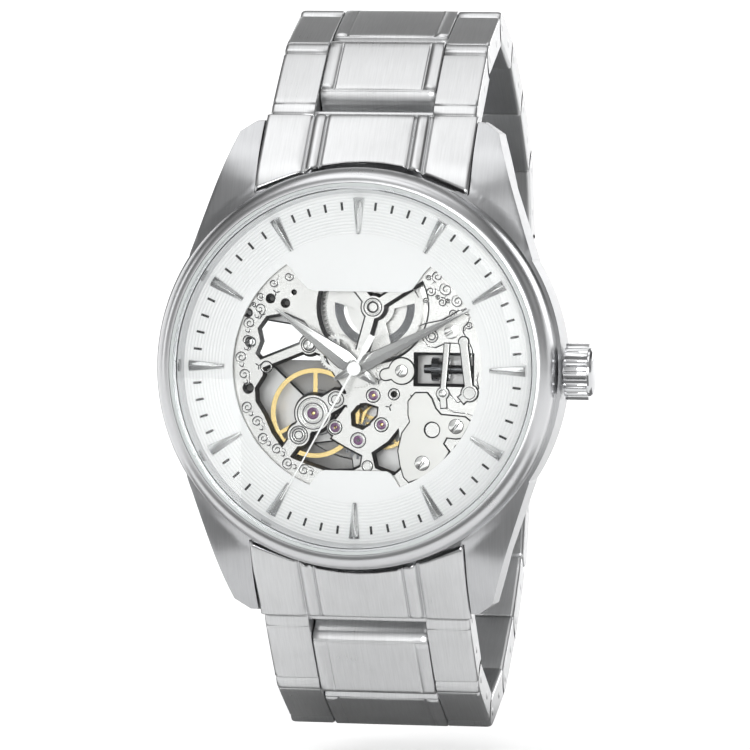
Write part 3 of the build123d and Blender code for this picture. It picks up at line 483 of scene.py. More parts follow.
# ------------------------------------------------------------------ turned pieces
lathe("bezel_ring", [(18.38, -8.06), (20.46, -8.06)] + [(20.5, -8.3)] + [(18.95 + 1.57 * math.cos(math.radians(a)), -8.75 - 2.6 * math.sin(math.radians(a))) for a in range(0, 88, 6)] +
      [(18.96, -11.34), (18.95, -11.2), (18.95, -10.42), (18.38, -10.42)], "bezel_steel", "case", "bezel", 300, 50)
lathe("rehaut_ring", [(17.9, -8.44), (18.28, -8.44), (18.28, -10.36), (18.22, -10.36)], "steel_polished", "case", "rehaut", 240)
lathe("crystal_dome", [(0.0, -10.42), (18.3, -10.42), (18.56, -10.5), (18.58, -11.35), (18.5, -11.45), (18.3, -11.55), (17, -11.66), (15, -11.76), (12, -11.86), (8, -11.94), (4, -11.98), (0.0, -12.0)],
      "crystal_glass", "case", "crystal", 240, 30)
lathe("crystal_seal", [(18.61, -10.44), (18.92, -10.44), (18.92, -11.28), (18.61, -11.28)], "seal_clear", "case", "crystal_gasket", 200)

# ------------------------------------------------------------------ minute ticks
bm = bmesh.new()
for i in range(60):
    if i % 5 == 0:
        continue
    a = 2 * math.pi * i / 60
    d, s = Vector((math.sin(a), 0, math.cos(a))), Vector((math.cos(a), 0, -math.sin(a)))
    vs = []
    for r in (16.18, 17.02):
        for w in (-0.12, 0.12):
            for y in (-8.405, -8.43):
                vs.append(bm.verts.new((d * r + s * w) * MM + Vector((0, y * MM, 0))))
    for q in ((0, 1, 3, 2), (4, 6, 7, 5), (0, 4, 5, 1), (2, 3, 7, 6), (0, 2, 6, 4), (1, 5, 7, 3)):
        bm.faces.new([vs[k] for k in q])
bmesh.ops.recalc_face_normals(bm, faces=bm.faces)
me = bpy.data.meshes.new("minute_ticks")
bm.to_mesh(me)
bm.free()
place("minute_ticks", me, "ink", "case")

# ------------------------------------------------------------------ rounded copies of the machined pieces
refine("case_body", 0.3, 3, 18, edge="steel_polished", facing=("steel_polished", lambda nn, c: abs(nn.x) > 0.75 and abs(c.x) > 0.0165), blend=blend_lugs)
refine("crown", 0.08, 2, 25)
refine("case_back", 0.08, 2, 25)
for n in ("clasp_base", "clasp_arm_12", "clasp_arm_6", "button_left", "button_right"):
    refine(n, 0.12, 2, 30)
# the sideways walls of the movement pieces are repainted near-black: painted shade
PAINTED_SHADE_WALLS = ("dark_wall", lambda nn, c: abs(nn.y) < 0.35)
refine("main_plate", 0.10, 2, 30, edge="nickel_polished", facing=PAINTED_SHADE_WALLS)
refine("keyless_cover", 0.10, 2, 30, edge="nickel_polished", facing=PAINTED_SHADE_WALLS)
for n, w, m_ in (("setting_lever", 0.08, "nickel_polished"), ("yoke", 0.06, "nickel_polished"), ("movement_screws", 0.03, "nickel_polished"), ("train_bridge", 0.08, "nickel_back"), ("barrel_bridge", 0.08, "nickel_back"),
                 ("balance_cock", 0.08, "nickel_back"), ("rotor", 0.06, "rotor_grey"), ("balance_wheel", 0.04, None), ("centre_wheel", 0.03, None), ("third_wheel", 0.03, None), ("fourth_wheel", 0.03, None)):
    refine(n, w, 2, 30, mat=m_, edge="nickel_polished" if m_ == "nickel_polished" else None, facing=PAINTED_SHADE_WALLS if m_ else None)
refine("jewels", 0.05, 2, 30)
for n, w in (("hour_markers", 0.02), ("hour_hand", 0.02), ("minute_hand", 0.02), ("seconds_hand", 0.01)):
    refine(n, w, 1, 20)

# ------------------------------------------------------------------ bracelet
PINS_T = [(2.009, 25.911), (9.447, 32.143), (18.443, 35.782), (27.627, 32.647), (35.854, 27.501), (43.051, 20.992), (45.85, 11.701), (46.096, 2.0)]
PINS_B = [(2.077, -25.974), (9.24, -32.78), (18.204, -36.937), (27.654, -34.053), (35.725, -28.352), (42.602, -21.259), (45.689, -11.872), (46.096, -2.0)]
KN, HOL, TH, MID, HW = 1.75, 1.87, 1.6, 6.1, 10.8


def circ(cx, r, v0, v1, side, n=10):
    """Arc about (cx, 0) from height v0 to v1, on the side (-1 left, 1 right)."""
    a0, a1 = math.asin(v0 / r), math.asin(v1 / r)
    return [(cx + side * r * math.cos(a0 + (a1 - a0) * i / n), r * math.sin(a0 + (a1 - a0) * i / n)) for i in range(n + 1)]


NOSE_S = [(0.34, TH), (0.27, TH - 0.09), (0.16, TH - 0.10), (0.08, TH - 0.02), (-0.25, 1.56), (-0.62, 1.47), (-0.95, 1.36)]
NOSE_M = [(2.62, TH), (2.56, TH - 0.09), (2.46, TH - 0.10), (2.38, TH - 0.03), (2.22, 1.45), (2.0, 1.12), (1.86, 0.85), (1.79, 0.66)]
GROOVES = [NOSE_S[1], NOSE_S[2], NOSE_M[1], NOSE_M[2]]


def outline_uv(p, kind, nose=False):
    """Side outline, counter-clockwise, in link coordinates, and which of its points belong to the polished end bevels;
    points marked 2, in the grooves and on the socket wall round the knuckle of the centre pieces, get the near-black
    groove finish, which paints shade there.
    """
    up = 1.44
    if kind == "side":
        left = NOSE_S + circ(0, KN, 1.3, -1.5, -1, 12) + [(-0.5, -TH)]
        right = [(p - 1.62, -TH)] + circ(p, HOL, -1.5, up, -1, 12) + [(p - 1.36, 1.57), (p - 1.5, TH)]
    elif kind == "side_last":
        left = NOSE_S + circ(0, KN, 1.3, -1.5, -1, 12) + [(-0.5, -TH)]
        e = p + KN - 0.05
        right = [(e - 0.2, -TH), (e, -1.45), (e, 0.0), (e, 1.3), (e - 0.1, 1.5), (e - 0.35, TH)]
    elif kind == "side_open":
        left = NOSE_S + circ(0, KN, 1.3, -1.5, -1, 12) + [(-0.5, -TH)]
        e = p - KN - 0.3
        right = [(e - 0.2, -TH), (e, -1.45), (e, 0.0), (e, 1.3), (e - 0.1, 1.5), (e - 0.35, TH)]
    elif kind == "mid_open":
        e = KN + 0.3
        left = [(e + 0.35, TH), (e + 0.1, 1.5), (e, 1.3), (e, 0.0), (e, -1.45), (e + 0.2, -TH)]
        right = [(p + 0.4, -TH)] + circ(p, KN, -1.5, up, 1, 12) + [(p + 0.62, 1.56), (p + 0.3, TH)]
    elif kind == "mid_last":
        left = NOSE_M + circ(0, HOL, 0.55, -1.5, 1, 12) + [(1.6, -TH)]
        e = p + KN - 0.05
        right = [(e - 0.2, -TH), (e, -1.45), (e, 0.0), (e, 1.3), (e - 0.1, 1.5), (e - 0.35, TH)]
    else:
        left = NOSE_M + circ(0, HOL, 0.55, -1.5, 1, 12) + [(1.6, -TH)]
        right = [(p + 0.4, -TH)] + circ(p, KN, -1.5, up, 1, 12) + [(p + 0.62, 1.56), (p + 0.3, TH)]
    u0, u1 = left[0][0], right[-1][0]
    bot0, bot1 = left[-1][0], right[0][0]
    low = [(bot0 + (bot1 - bot0) * i / 4, -TH) for i in range(1, 4)]
    top = [(u1 + (u0 - u1) * i / 10, TH + 0.05 * math.sin(math.pi * i / 10)) for i in range(1, 10)]
    pts = left + low + right + top
    flat = [1 if 1.55 <= q[1] and min(u0, u1) - 1e-6 <= q[0] <= max(u0, u1) + 1e-6 else 0 for q in pts]
    for i, q in enumerate(pts):
        if q in GROOVES or (kind.startswith("mid") and kind != "mid_open" and 1.0 < q[0] < HOL + 0.01 and q[1] < 0.7):
            flat[i] = 2
    return pts, flat


def inset(pts, d):
    n = len(pts)
    out = []
    for i in range(n):
        a, q, c = pts[i - 1], pts[i], pts[(i + 1) % n]
        e0, e1 = (q[0] - a[0], q[1] - a[1]), (c[0] - q[0], c[1] - q[1])
        l0, l1 = max(math.hypot(*e0), 1e-9), max(math.hypot(*e1), 1e-9)
        nx, ny = -(e0[1] / l0 + e1[1] / l1), e0[0] / l0 + e1[0] / l1
        m = math.hypot(nx, ny)
        if m < 1e-6:
            out.append(q)
            continue
        k = d / m * 2 / max(m, 1.2)
        out.append((q[0] + nx * k, q[1] + ny * k))
    return out


def loft(bm, pts, flat, stations, frame, mats):
    """stations: (x, inset, extra outward lift of the top face, material from here to the next)."""
    origin, t, nrm = frame
    rings = []
    for x, d, lift, _ in stations:
        loop = inset(pts, d) if d else pts
        rings.append([bm.verts.new(Vector((x, origin[0] + t[0] * u + nrm[0] * (v + (lift if f == 1 else 0)), origin[1] + t[1] * u + nrm[1] * (v + (lift if f == 1 else 0)))) * MM) for (u, v), f in zip(loop, flat)])
    n = len(pts)
    for k in range(len(rings) - 1):
        for i in range(n):
            j = (i + 1) % n
            f = bm.faces.new((rings[k][i], rings[k][j], rings[k + 1][j], rings[k + 1][i]))
            f.smooth = True
            # index 3 is the near-black groove finish: painted shade
            f.material_index = 3 if flat[i] == 2 or flat[j] == 2 else stations[k][3] if flat[i] and flat[j] else mats[1]
    for r in (rings[0], rings[-1]):
        f = bm.faces.new(r)
        f.material_index = mats[2]


def link_frame(a, b, sign):
    t = (b[0] - a[0], b[1] - a[1])
    m = math.hypot(*t)
    t = (t[0] / m, t[1] / m)
    return (a, t, (-sign * t[1], sign * t[0])), m


SIDE_ST = [(0.0, 0.16, 0, 0), (0.05, 0.07, 0, 0), (0.14, 0.0, 0, 0), (1.5, 0, 0, 0), (3.2, 0, 0, 0), (4.2, 0.0, 0, 1), (4.42, 0.04, 0, 1), (4.57, 0.12, 0, 1), (4.65, 0.26, 0, 1)]
# stations: (x, inset, lift, material); material 3 across the V-groove is the near-black groove finish, painted shade
MID_ST = [(-6.1, 0.22, 0, 1), (-6.06, 0.10, 0, 1), (-5.92, 0.0, 0, 1), (-5.3, 0, 0.06, 1), (-4.78, 0, 0.0, 3), (-4.70, 0, -0.12, 3), (-4.60, 0, -0.12, 3), (-4.52, 0, -0.02, 0), (-4.44, 0, 0, 0), (-2.2, 0, 0.03, 0), (0, 0, 0.04, 0)]
MID_ST = MID_ST + [(-x, d, l, MID_ST[max(i - 1, 0)][3]) for i, (x, d, l, m_) in reversed(list(enumerate(MID_ST[:-1])))]


def end_face(me):
    """The sharp edges stay sharp: weighted normals on a copy."""
    tmp = bpy.data.objects.new("tmp", me)
    COL.objects.link(tmp)
    wn = tmp.modifiers.new("w", "WEIGHTED_NORMAL")
    wn.mode = "FACE_AREA"
    wn.weight = 60
    out = evaluated(tmp)
    bpy.data.objects.remove(tmp)
    return out


def pins_mesh(bm, frame, us, r, x0, x1, seg=24, mat=1):
    origin, t, nrm = frame
    for u in us:
        rings = []
        for x in (x0, x0 + 0.08, x1 - 0.08, x1):
            rr = r - (0.06 if x in (x0, x1) else 0)
            rings.append([bm.verts.new(Vector((x, origin[0] + t[0] * (u + rr * math.cos(q)) + nrm[0] * rr * math.sin(q), origin[1] + t[1] * (u + rr * math.cos(q)) + nrm[1] * rr * math.sin(q))) * MM) for q in [2 * math.pi * i / seg for i in range(seg)]])
        for k in range(3):
            for i in range(seg):
                f = bm.faces.new((rings[k][i], rings[k][(i + 1) % seg], rings[k + 1][(i + 1) % seg], rings[k + 1][i]))
                f.smooth = True
                # the middle of each pin gets the near-black groove finish: painted shade in the gaps between the link
                # pieces
                f.material_index = 3 if k == 1 else mat
        for rg in (rings[0], rings[-1]):
            bm.faces.new(rg).material_index = mat


# the last finish, groove, is near-black: painted shade in grooves, socket walls and pin gaps
LINK_MATS = ["steel_brushed_link", "steel_polished", "steel_side", "groove"]


def link_piece(node, a, b, sign, last, open_start, open_end):
    fr, p = link_frame(a, b, sign)
    ks = "side_last" if last else "side_open" if open_end else "side"
    km = "mid_last" if last else "mid_open" if open_start else "mid"
    bm = bmesh.new()
    pts, flat = outline_uv(p, ks)
    loft(bm, pts, flat, [(6.15 + x, d, l, m_) for x, d, l, m_ in SIDE_ST], fr, (0, 1, 2))
    loft(bm, pts, flat, [(-6.15 - x, d, l, SIDE_ST[max(i - 1, 0)][3]) for i, (x, d, l, m_) in reversed(list(enumerate(SIDE_ST)))], fr, (0, 1, 2))
    pts, flat = outline_uv(p, km)
    if last:
        st = [q for q in MID_ST if q[0] <= -2.9] + [(-2.8, 0.05, 0.03, 0)]
        loft(bm, pts, flat, st, fr, (0, 1, 2))
        loft(bm, pts, flat, [(-x, d, l, m_) for x, d, l, m_ in reversed(st)], fr, (0, 1, 2))
    else:
        loft(bm, pts, flat, MID_ST, fr, (0, 1, 2))
    pins_mesh(bm, fr, [p / 2, 0.0] if not open_start else [p / 2], 0.5, -HW - 0.02, HW + 0.02)
    if last:
        pins_mesh(bm, fr, [p], 0.5, -HW - 0.02, HW + 0.02)
    bmesh.ops.recalc_face_normals(bm, faces=bm.faces)
    me = bpy.data.meshes.new(node)
    bm.to_mesh(me)
    bm.free()
    for m_ in LINK_MATS:
        me.materials.append(MATS[m_])
    place(node + "_fine", end_face(me), LINK_MATS, BODY[node], node)


for i in range(7):
    link_piece(f"link_12_{i + 1}", PINS_T[i], PINS_T[i + 1], 1, i == 6, False, False)
    link_piece(f"link_6_{i + 1}", PINS_B[i], PINS_B[i + 1], -1, i == 6, i == 5, i == 4)


# the last finish, groove, is near-black: painted shade
END_MATS = ["steel_brushed_link", "steel_polished", "groove"]


def end_link_mesh():
    bm = bmesh.new()
    for sign, pins in ((1, PINS_T), (-1, PINS_B)):
        a, b = [(q[0], q[1] * sign) for q in pins[:2]]
        t = (b[0] - a[0], b[1] - a[1])
        m = math.hypot(*t)
        t = (t[0] / m, t[1] / m)
        n = (-t[1], t[0])
        P = lambda u, v: (a[0] + t[0] * u + n[0] * v, a[1] + t[1] * u + n[1] * v)
        line = [(-7.4, 18.0), (-6.75, 19.4), (-5.7, 20.8), (-4.45, 22.0)] + [P(-3.2, TH - 0.02), P(-1.9, TH)]
        line_mid = line[:-1] + [P(-3.0, TH - 0.02), P(-2.3, TH)]
        nose = [P(0.9 * math.sin(math.radians(q)) - 2.2, TH - 0.9 + 0.9 * math.cos(math.radians(q))) for q in (15, 30, 45, 60, 75, 90)] + [P(-1.3, -0.2), P(-1.4, -1.0), P(-1.6, -1.5)]
        bev = [P(-1.72, TH - 0.04), P(-1.6, TH - 0.18), P(-1.62, 0.9), P(-1.86, 0.2), P(-1.86, -0.4), P(-1.7, -1.0), P(-1.9, -1.5)]

        def curve(pts, z0, k):
            out, acc = [], []
            for i in range(len(pts) - 1):
                for j in range(6):
                    f = j / 6
                    acc.append((pts[i][0] + (pts[i + 1][0] - pts[i][0]) * f, pts[i][1] + (pts[i + 1][1] - pts[i][1]) * f))
            acc.append(pts[-1])
            for _ in range(12):
                acc = [acc[0]] + [((acc[i - 1][0] + 2 * acc[i][0] + acc[i + 1][0]) / 4, (acc[i - 1][1] + 2 * acc[i][1] + acc[i + 1][1]) / 4) for i in range(1, len(acc) - 1)] + [acc[-1]]
            d = [0]
            for i in range(1, len(acc)):
                d.append(d[-1] + math.dist(acc[i], acc[i - 1]))
            zz = [q[1] for q in acc]
            s0 = np.interp(z0, zz, d)
            for i in range(k):
                sx = s0 + (d[-1] - s0) * i / (k - 1)
                out.append((float(np.interp(sx, d, [q[0] for q in acc])), float(np.interp(sx, d, zz))))
            return out
        # stations across: (x, lift, part) ; part 0 wing, 1 strip, 2 centre, 3 groove painted near-black as shade
        st = [(11.05, -0.25, 0), (11.0, -0.12, 0), (10.85, -0.03, 0), (10.6, 0, 0), (9.0, 0, 0), (7.2, 0, 0), (6.55, -0.03, 0), (6.3, -0.16, 3), (6.22, -0.3, 3), (6.12, -0.26, 3), (6.04, -0.02, 1), (5.96, 0.10, 1), (5.75, 0.24, 1), (5.3, 0.3, 1), (4.9, 0.24, 1), (4.74, 0.12, 3), (4.66, -0.04, 3), (4.58, -0.04, 3), (4.5, 0.12, 2), (4.4, 0.2, 2), (4.1, 0.24, 2), (2, 0.28, 2), (0, 0.3, 2)]
        full = st + [(-x, l, q) for x, l, q in reversed(st[:-1])]
        cols = []
        for x, lift, part in full:
            z0 = math.sqrt(20.75 ** 2 - x * x)
            body = curve(line_mid if part and x < 6.11 and x > -6.11 else line, z0, 16)
            pts = body + (nose if part and x < 6.11 and x > -6.11 else bev)
            while len(pts) < 25:
                pts.append(pts[-1])
            col = []
            for i, q in enumerate(pts):
                p0, p1 = pts[max(i - 1, 0)], pts[min(i + 1, len(pts) - 1)]
                ty, tz = p1[0] - p0[0], p1[1] - p0[1]
                mm = math.hypot(ty, tz) or 1
                fade = 1.0 if i < 16 else max(0.0, 1 - (i - 15) / 4)
                col.append(bm.verts.new(Vector((x, q[0] - tz / mm * lift * fade, sign * (q[1] + ty / mm * lift * fade))) * MM))
            low = [(1.2, 22.2), (-1.5, 21.6), (-5.0, max(z0, 20.9) if abs(x) < 5 else z0)]
            for q in low:
                col.append(bm.verts.new(Vector((x, q[0], sign * max(q[1], z0))) * MM))
            cols.append(col)
        n_ = len(cols[0])
        for k in range(len(cols) - 1):
            mid_ = full[k][2] == 1 and full[k + 1][2] in (1, 3)
            cut = full[k][2] == 3 and full[k + 1][2] == 3
            for i in range(n_):
                j = (i + 1) % n_
                try:
                    f = bm.faces.new((cols[k][i], cols[k][j], cols[k + 1][j], cols[k + 1][i]))
                except ValueError:
                    continue
                f.smooth = True
                # material 2 is the near-black groove finish: painted shade in the cross grooves and on the underside by
                # the case
                f.material_index = 2 if (cut and i < 24) or 19 <= i < 27 else 1 if (mid_ or i >= 15) else 0
        for c in (cols[0], cols[-1]):
            f = bm.faces.new(c)
            f.material_index = 1
    bmesh.ops.remove_doubles(bm, verts=bm.verts, dist=1e-7)
    bmesh.ops.dissolve_degenerate(bm, edges=bm.edges, dist=1e-7)
    bmesh.ops.recalc_face_normals(bm, faces=bm.faces)
    me = bpy.data.meshes.new("end_links")
    bm.to_mesh(me)
    bm.free()
    for m_ in END_MATS:
        me.materials.append(MATS[m_])
    place("end_links_fine", end_face(me), END_MATS, BODY["end_links"], "end_links")


end_link_mesh()


# ------------------------------------------------------------------ engraving, settings and rings on the plate
def tubes(name, lines, r, y, mat, body="case", seg=6, squash=0.6):
    """Thin rounded lines drawn on a face that looks along -Y."""
    bm = bmesh.new()
    for pts in lines:
        closed = math.dist(pts[0], pts[-1]) < 1e-6
        if closed:
            pts = pts[:-1]
        rings = []
        n = len(pts)
        for i, q in enumerate(pts):
            a_, c_ = (pts[i - 1], pts[(i + 1) % n]) if closed else (pts[max(i - 1, 0)], pts[min(i + 1, n - 1)])
            tx, tz = c_[0] - a_[0], c_[1] - a_[1]
            m = math.hypot(tx, tz) or 1
            taper = 1 if closed else min(1.0, 0.35 + 2.5 * min(i, n - 1 - i) / n)
            rings.append([bm.verts.new(Vector((q[0] - tz / m * r * taper * math.cos(w_), y - r * squash * taper * math.sin(w_), q[1] + tx / m * r * taper * math.cos(w_))) * MM) for w_ in [2 * math.pi * k / seg for k in range(seg)]])
        for i in range(n if closed else n - 1):
            for k in range(seg):
                f = bm.faces.new((rings[i][k], rings[i][(k + 1) % seg], rings[(i + 1) % n][(k + 1) % seg], rings[(i + 1) % n][k]))
                f.smooth = True
        if not closed:
            bm.faces.new(rings[0])
            bm.faces.new(rings[-1])
    bmesh.ops.recalc_face_normals(bm, faces=bm.faces)
    me = bpy.data.meshes.new(name)
    bm.to_mesh(me)
    bm.free()
    return place(name, me, mat, body)


def spiral(c, r0, turns, a0, hand=1, tail=0.0, ta=0.0):
    pts = []
    k = int(26 * turns)
    for i in range(k + 1):
        f = i / k
        a_ = a0 + hand * 2 * math.pi * turns * f
        rr = r0 * (0.12 + 0.88 * f)
        pts.append((c[0] + rr * math.cos(a_), c[1] + rr * math.sin(a_)))
    if tail:
        x, z = pts[-1]
        for i in range(1, 8):
            f = i / 7
            pts.append((x + tail * f * math.cos(ta + 0.9 * hand * f), z + tail * f * math.sin(ta + 0.9 * hand * f)))
    return pts


def ring_line(c, r, n=36, a0=0.0, a1=2 * math.pi):
    return [(c[0] + r * math.cos(a0 + (a1 - a0) * i / n), c[1] + r * math.sin(a0 + (a1 - a0) * i / n)) for i in range(n + 1)]


def flanks(node, out=0.16, drop=0.6, lip=0.03, mat="dark_wall", test=None, level=None):
    """Sloped flanks that run down from the front edges of a flat piece into its openings: dark sheets that paint the
    shade along those edges.
    """
    me = NODES[node].data
    bm = bmesh.new()
    bm.from_mesh(me)
    bmesh.ops.remove_doubles(bm, verts=bm.verts, dist=2e-6)
    ymin = level * MM if level is not None else min(v.co.y for v in bm.verts)
    front = {f for f in bm.faces if f.normal.y < -0.95 and abs(f.calc_center_median().y - ymin) < 0.00012}
    edges = [e for e in bm.edges if len([f for f in e.link_faces if f in front]) == 1 and len(e.link_faces) == 2]
    nrm, nxt = {}, {}
    for e in edges:
        f = [f for f in e.link_faces if f in front][0]
        d = (e.verts[1].co - e.verts[0].co)
        if d.length < 1e-7:
            continue
        side = Vector((d.z, 0, -d.x)).normalized()
        other = [v.co for v in f.verts if v not in e.verts]
        c = sum(other, Vector()) / len(other)
        if side.dot(c - e.verts[0].co) > 0:
            side = -side
        for v in e.verts:
            nrm.setdefault(v, []).append(side * 1.0)
        nxt.setdefault(e.verts[0], []).append(e.verts[1])
    group, gmax = {}, []
    near = {}
    for e in edges:
        for u_, w_ in ((e.verts[0], e.verts[1]), (e.verts[1], e.verts[0])):
            near.setdefault(u_, []).append(w_)
    for v in near:
        if v in group:
            continue
        stack, members = [v], []
        group[v] = len(gmax)
        while stack:
            q = stack.pop()
            members.append(q)
            for r_ in near[q]:
                if r_ not in group:
                    group[r_] = len(gmax)
                    stack.append(r_)
        ext = [max(m.co[k] for m in members) - min(m.co[k] for m in members) for k in (0, 2)]
        gmax.append(0.28 * min(ext) / MM)
    new = bmesh.new()
    top, low = {}, {}
    for v, ns in nrm.items():
        n = sum(ns, Vector())
        k = n.length
        n = n / k * min(1.6, len(ns) / max(k, 0.6)) if k > 1e-6 else ns[0]
        o_ = min(out, gmax[group[v]])
        top[v] = new.verts.new(v.co + Vector((0, lip * MM, 0)) - n * 0.02 * MM)
        low[v] = new.verts.new(v.co + Vector((0, drop * o_ / out * MM, 0)) + n * o_ * MM)
    for e in edges:
        a_, b_ = e.verts
        if a_ not in top or b_ not in top or (test and not test((a_.co + b_.co) / 2)):
            continue
        f = new.faces.new((top[a_], top[b_], low[b_], low[a_]))
        f.smooth = True
    bmesh.ops.recalc_face_normals(new, faces=new.faces)
    for v in [v for v in new.verts if not v.link_faces]:
        new.verts.remove(v)
    out_me = bpy.data.meshes.new(node + "_flanks")
    new.to_mesh(out_me)
    new.free()
    bm.free()
    return place(node + "_flanks", out_me, mat, BODY[node])


# dark sloped sheets along the edges of the movement pieces: painted shade
flanks("main_plate", 0.30, 1.0, level=-7.5, mat="wall_steel")
flanks("movement_screws", 0.05, 0.12)
flanks("keyless_cover", 0.13, 0.22)
for n_ in ("train_bridge", "barrel_bridge", "balance_cock"):
    flanks(n_, 0.15, 0.4)
flanks("setting_lever", 0.10, 0.2)
flanks("yoke", 0.08, 0.2)

rng = random.Random(7)
scrolls = []
# the rim on the nine-o'clock side, from ten to seven
for i, deg in enumerate((150, 158.5, 167, 175.5, 184, 200, 208.5, 217, 225.5, 234, 242.5)):
    a_ = math.radians(deg)
    rad = 12.15 if i % 2 else 11.85
    c = (rad * math.cos(a_), rad * math.sin(a_))
    scrolls.append(spiral(c, 0.62, 1.6, a_ + math.pi * (i % 2), 1 if i % 2 else -1, 0.7, a_ + 2.2))
    scrolls.append(ring_line((c[0] + 0.75 * math.cos(a_ + 1.7), c[1] + 0.75 * math.sin(a_ + 1.7)), 0.22, 14, a_, a_ + 4.2))
for x, z, r in ((-10.2, 7.2, 0.45), (-8.9, 8.6, 0.5), (-7.3, 9.3, 0.5), (-10.9, 6.3, 0.3)):
    scrolls.append(spiral((x, z), r, 1.5, rng.uniform(0, 6), 1, 0.5, rng.uniform(0, 6)))
# the plate between one and three o'clock
for x, z, r, h in ((8.1, 9.5, 0.62, 1), (9.0, 8.2, 0.7, -1), (7.4, 8.0, 0.55, 1), (10.2, 7.0, 0.62, -1), (8.6, 6.9, 0.5, 1), (9.7, 5.7, 0.5, -1), (7.9, 10.6, 0.4, 1), (11.2, 5.9, 0.45, 1), (7.2, 9.4, 0.3, -1), (11.4, 4.6, 0.4, -1), (8.3, 11.4, 0.35, -1), (9.4, 10.2, 0.4, 1), (9.9, 8.9, 0.35, -1), (10.6, 8.0, 0.35, 1), (11.3, 7.0, 0.3, -1), (6.9, 7.1, 0.3, 1), (8.1, 7.4, 0.25, -1), (9.2, 7.0, 0.25, 1)):
    scrolls.append(spiral((x, z), r, 1.7, rng.uniform(0, 6), h, 0.6, rng.uniform(0, 6)))
# the scroll lines are dark: painted shade of the engraved cuts, with a polished edge line beside each
tubes("scroll_lines", scrolls, 0.055, -7.5, "engraving")
hi = [[(x + 0.07, z - 0.07) for x, z in ln] for ln in scrolls]
tubes("scroll_edges", hi, 0.035, -7.5, "nickel_polished")
# outlines of the thin springs and jumpers beside the winding stem, drawn as dark lines of painted shade with a polished
# edge beside each
works = [
    [(11.6, 5.6), (11.3, 4.9), (10.9, 4.4), (10.8, 3.9), (11.1, 3.3), (11.5, 2.7), (11.8, 2.0), (11.85, 1.2), (11.9, 0.6)],
    [(6.2, 4.4), (7.0, 4.7), (7.9, 4.9), (8.7, 5.1), (9.6, 5.6), (10.4, 6.1), (11.2, 6.2)],
    [(6.6, 3.5), (6.75, 2.9), (7.2, 2.4), (8.0, 2.25), (8.8, 2.6), (9.4, 2.75), (10.6, 2.7), (11.2, 2.6)],
    [(9.4, -2.1), (9.8, -2.8), (10.3, -3.3), (11.1, -3.1), (12.1, -2.6), (12.5, -1.8), (12.3, -1.0), (12.5, -0.2)],
    [(8.1, -2.4), (8.5, -3.3), (9.1, -3.9), (10.0, -4.3), (11.2, -4.4), (12.1, -4.7)],
    [(7.0, 11.5), (6.2, 10.4), (5.6, 9.2), (5.7, 8.2), (6.2, 7.3)],
]
tubes("works_outlines", works, 0.07, -7.5, "dark_wall", squash=0.4)
tubes("works_edges", [[(x - 0.11, z + 0.04) for x, z in ln] for ln in works], 0.05, -7.5, "nickel_polished", squash=0.7)
# small three-armed marks, in the dark engraving finish that paints the shade of their cuts
marks = []
for x, z, t in ((-10.3, 0.1, 0.5), (-10.1, 5.3, 0.2), (3.3, -3.9, 0.9), (-8.6, 7.6, 0.3), (-6.0, 9.2, 1.0), (5.7, -2.9, 0.2), (2.2, -1.2, 0.4)):
    for k in range(3):
        a_ = t + 2 * math.pi * k / 3
        marks.append([(x, z), (x + 0.22 * math.cos(a_), z + 0.22 * math.sin(a_)), (x + 0.42 * math.cos(a_), z + 0.42 * math.sin(a_))])
tubes("three_arm_marks", marks, 0.085, -7.5, "engraving")
# dark grooves beside the cut-outs of the plate and around the settings: raised lines in the near-black wall finish,
# painted shade
lines = []
for c, rs in (((-5.11, 2.3), (0.78, 0.56)), ((-2.24, -3.23), (0.8, 0.45)), ((-6.06, -6.95), (0.92, 0.66, 0.4)), ((-4.6, -4.7), (1.62, 1.05)), ((1.62, -2.75), (0.72,)), ((2.5, -5.73), (0.72,)), ((0.12, -7.36), (0.78,)), ((-2.28, -6.09), (0.7,)),
              ((1.45, 6.27), (0.92, 0.5)), ((7.59, 3.39), (0.62, 0.35)), ((3.76, -2.59), (0.58,)), ((-9.5, -0.03), (0.6,)), ((1.11, -9.98), (0.55,))):
    for r in rs:
        lines.append(ring_line(c, r, 40))
tubes("ring_grooves", lines, 0.055, -7.5, "dark_wall")
lines = []
for c, rs in (((-5.11, 2.3), (0.67, 0.47)), ((-2.24, -3.23), (0.68,)), ((-6.06, -6.95), (0.79, 0.53)), ((-4.6, -4.7), (1.45, 1.2)), ((1.62, -2.75), (0.62,)), ((2.5, -5.73), (0.62,)), ((0.12, -7.36), (0.66,)), ((-2.28, -6.09), (0.6,)),
              ((1.45, 6.27), (0.75,)), ((7.59, 3.39), (0.48,)), ((3.76, -2.59), (0.47,)), ((-9.5, -0.03), (0.5,)), ((1.11, -9.98), (0.42,))):
    for r in rs:
        lines.append(ring_line(c, r, 40))
tubes("ring_edges", lines, 0.04, -7.5, "nickel_polished", seg=8, squash=0.8)
# the spring clip of the balance jewel
tubes("shock_clip", [ring_line((-4.6, -4.7), 0.86, 30, 0.5, 5.8)], 0.075, -7.52, "nickel_polished", seg=8, squash=0.8)

# ------------------------------------------------------------------ studio
def area(name, loc, target, size, power, col=(1, 1, 1), shape="RECTANGLE"):
    li = bpy.data.lights.new(name, "AREA")
    li.shape = shape
    li.size, li.size_y = size
    li.energy = power
    li.color = col
    o = bpy.data.objects.new(name, li)
    COL.objects.link(o)
    o.location = loc
    d = Vector(target) - Vector(loc)
    o.rotation_euler = d.to_track_quat("-Z", "Y").to_euler()
    return o


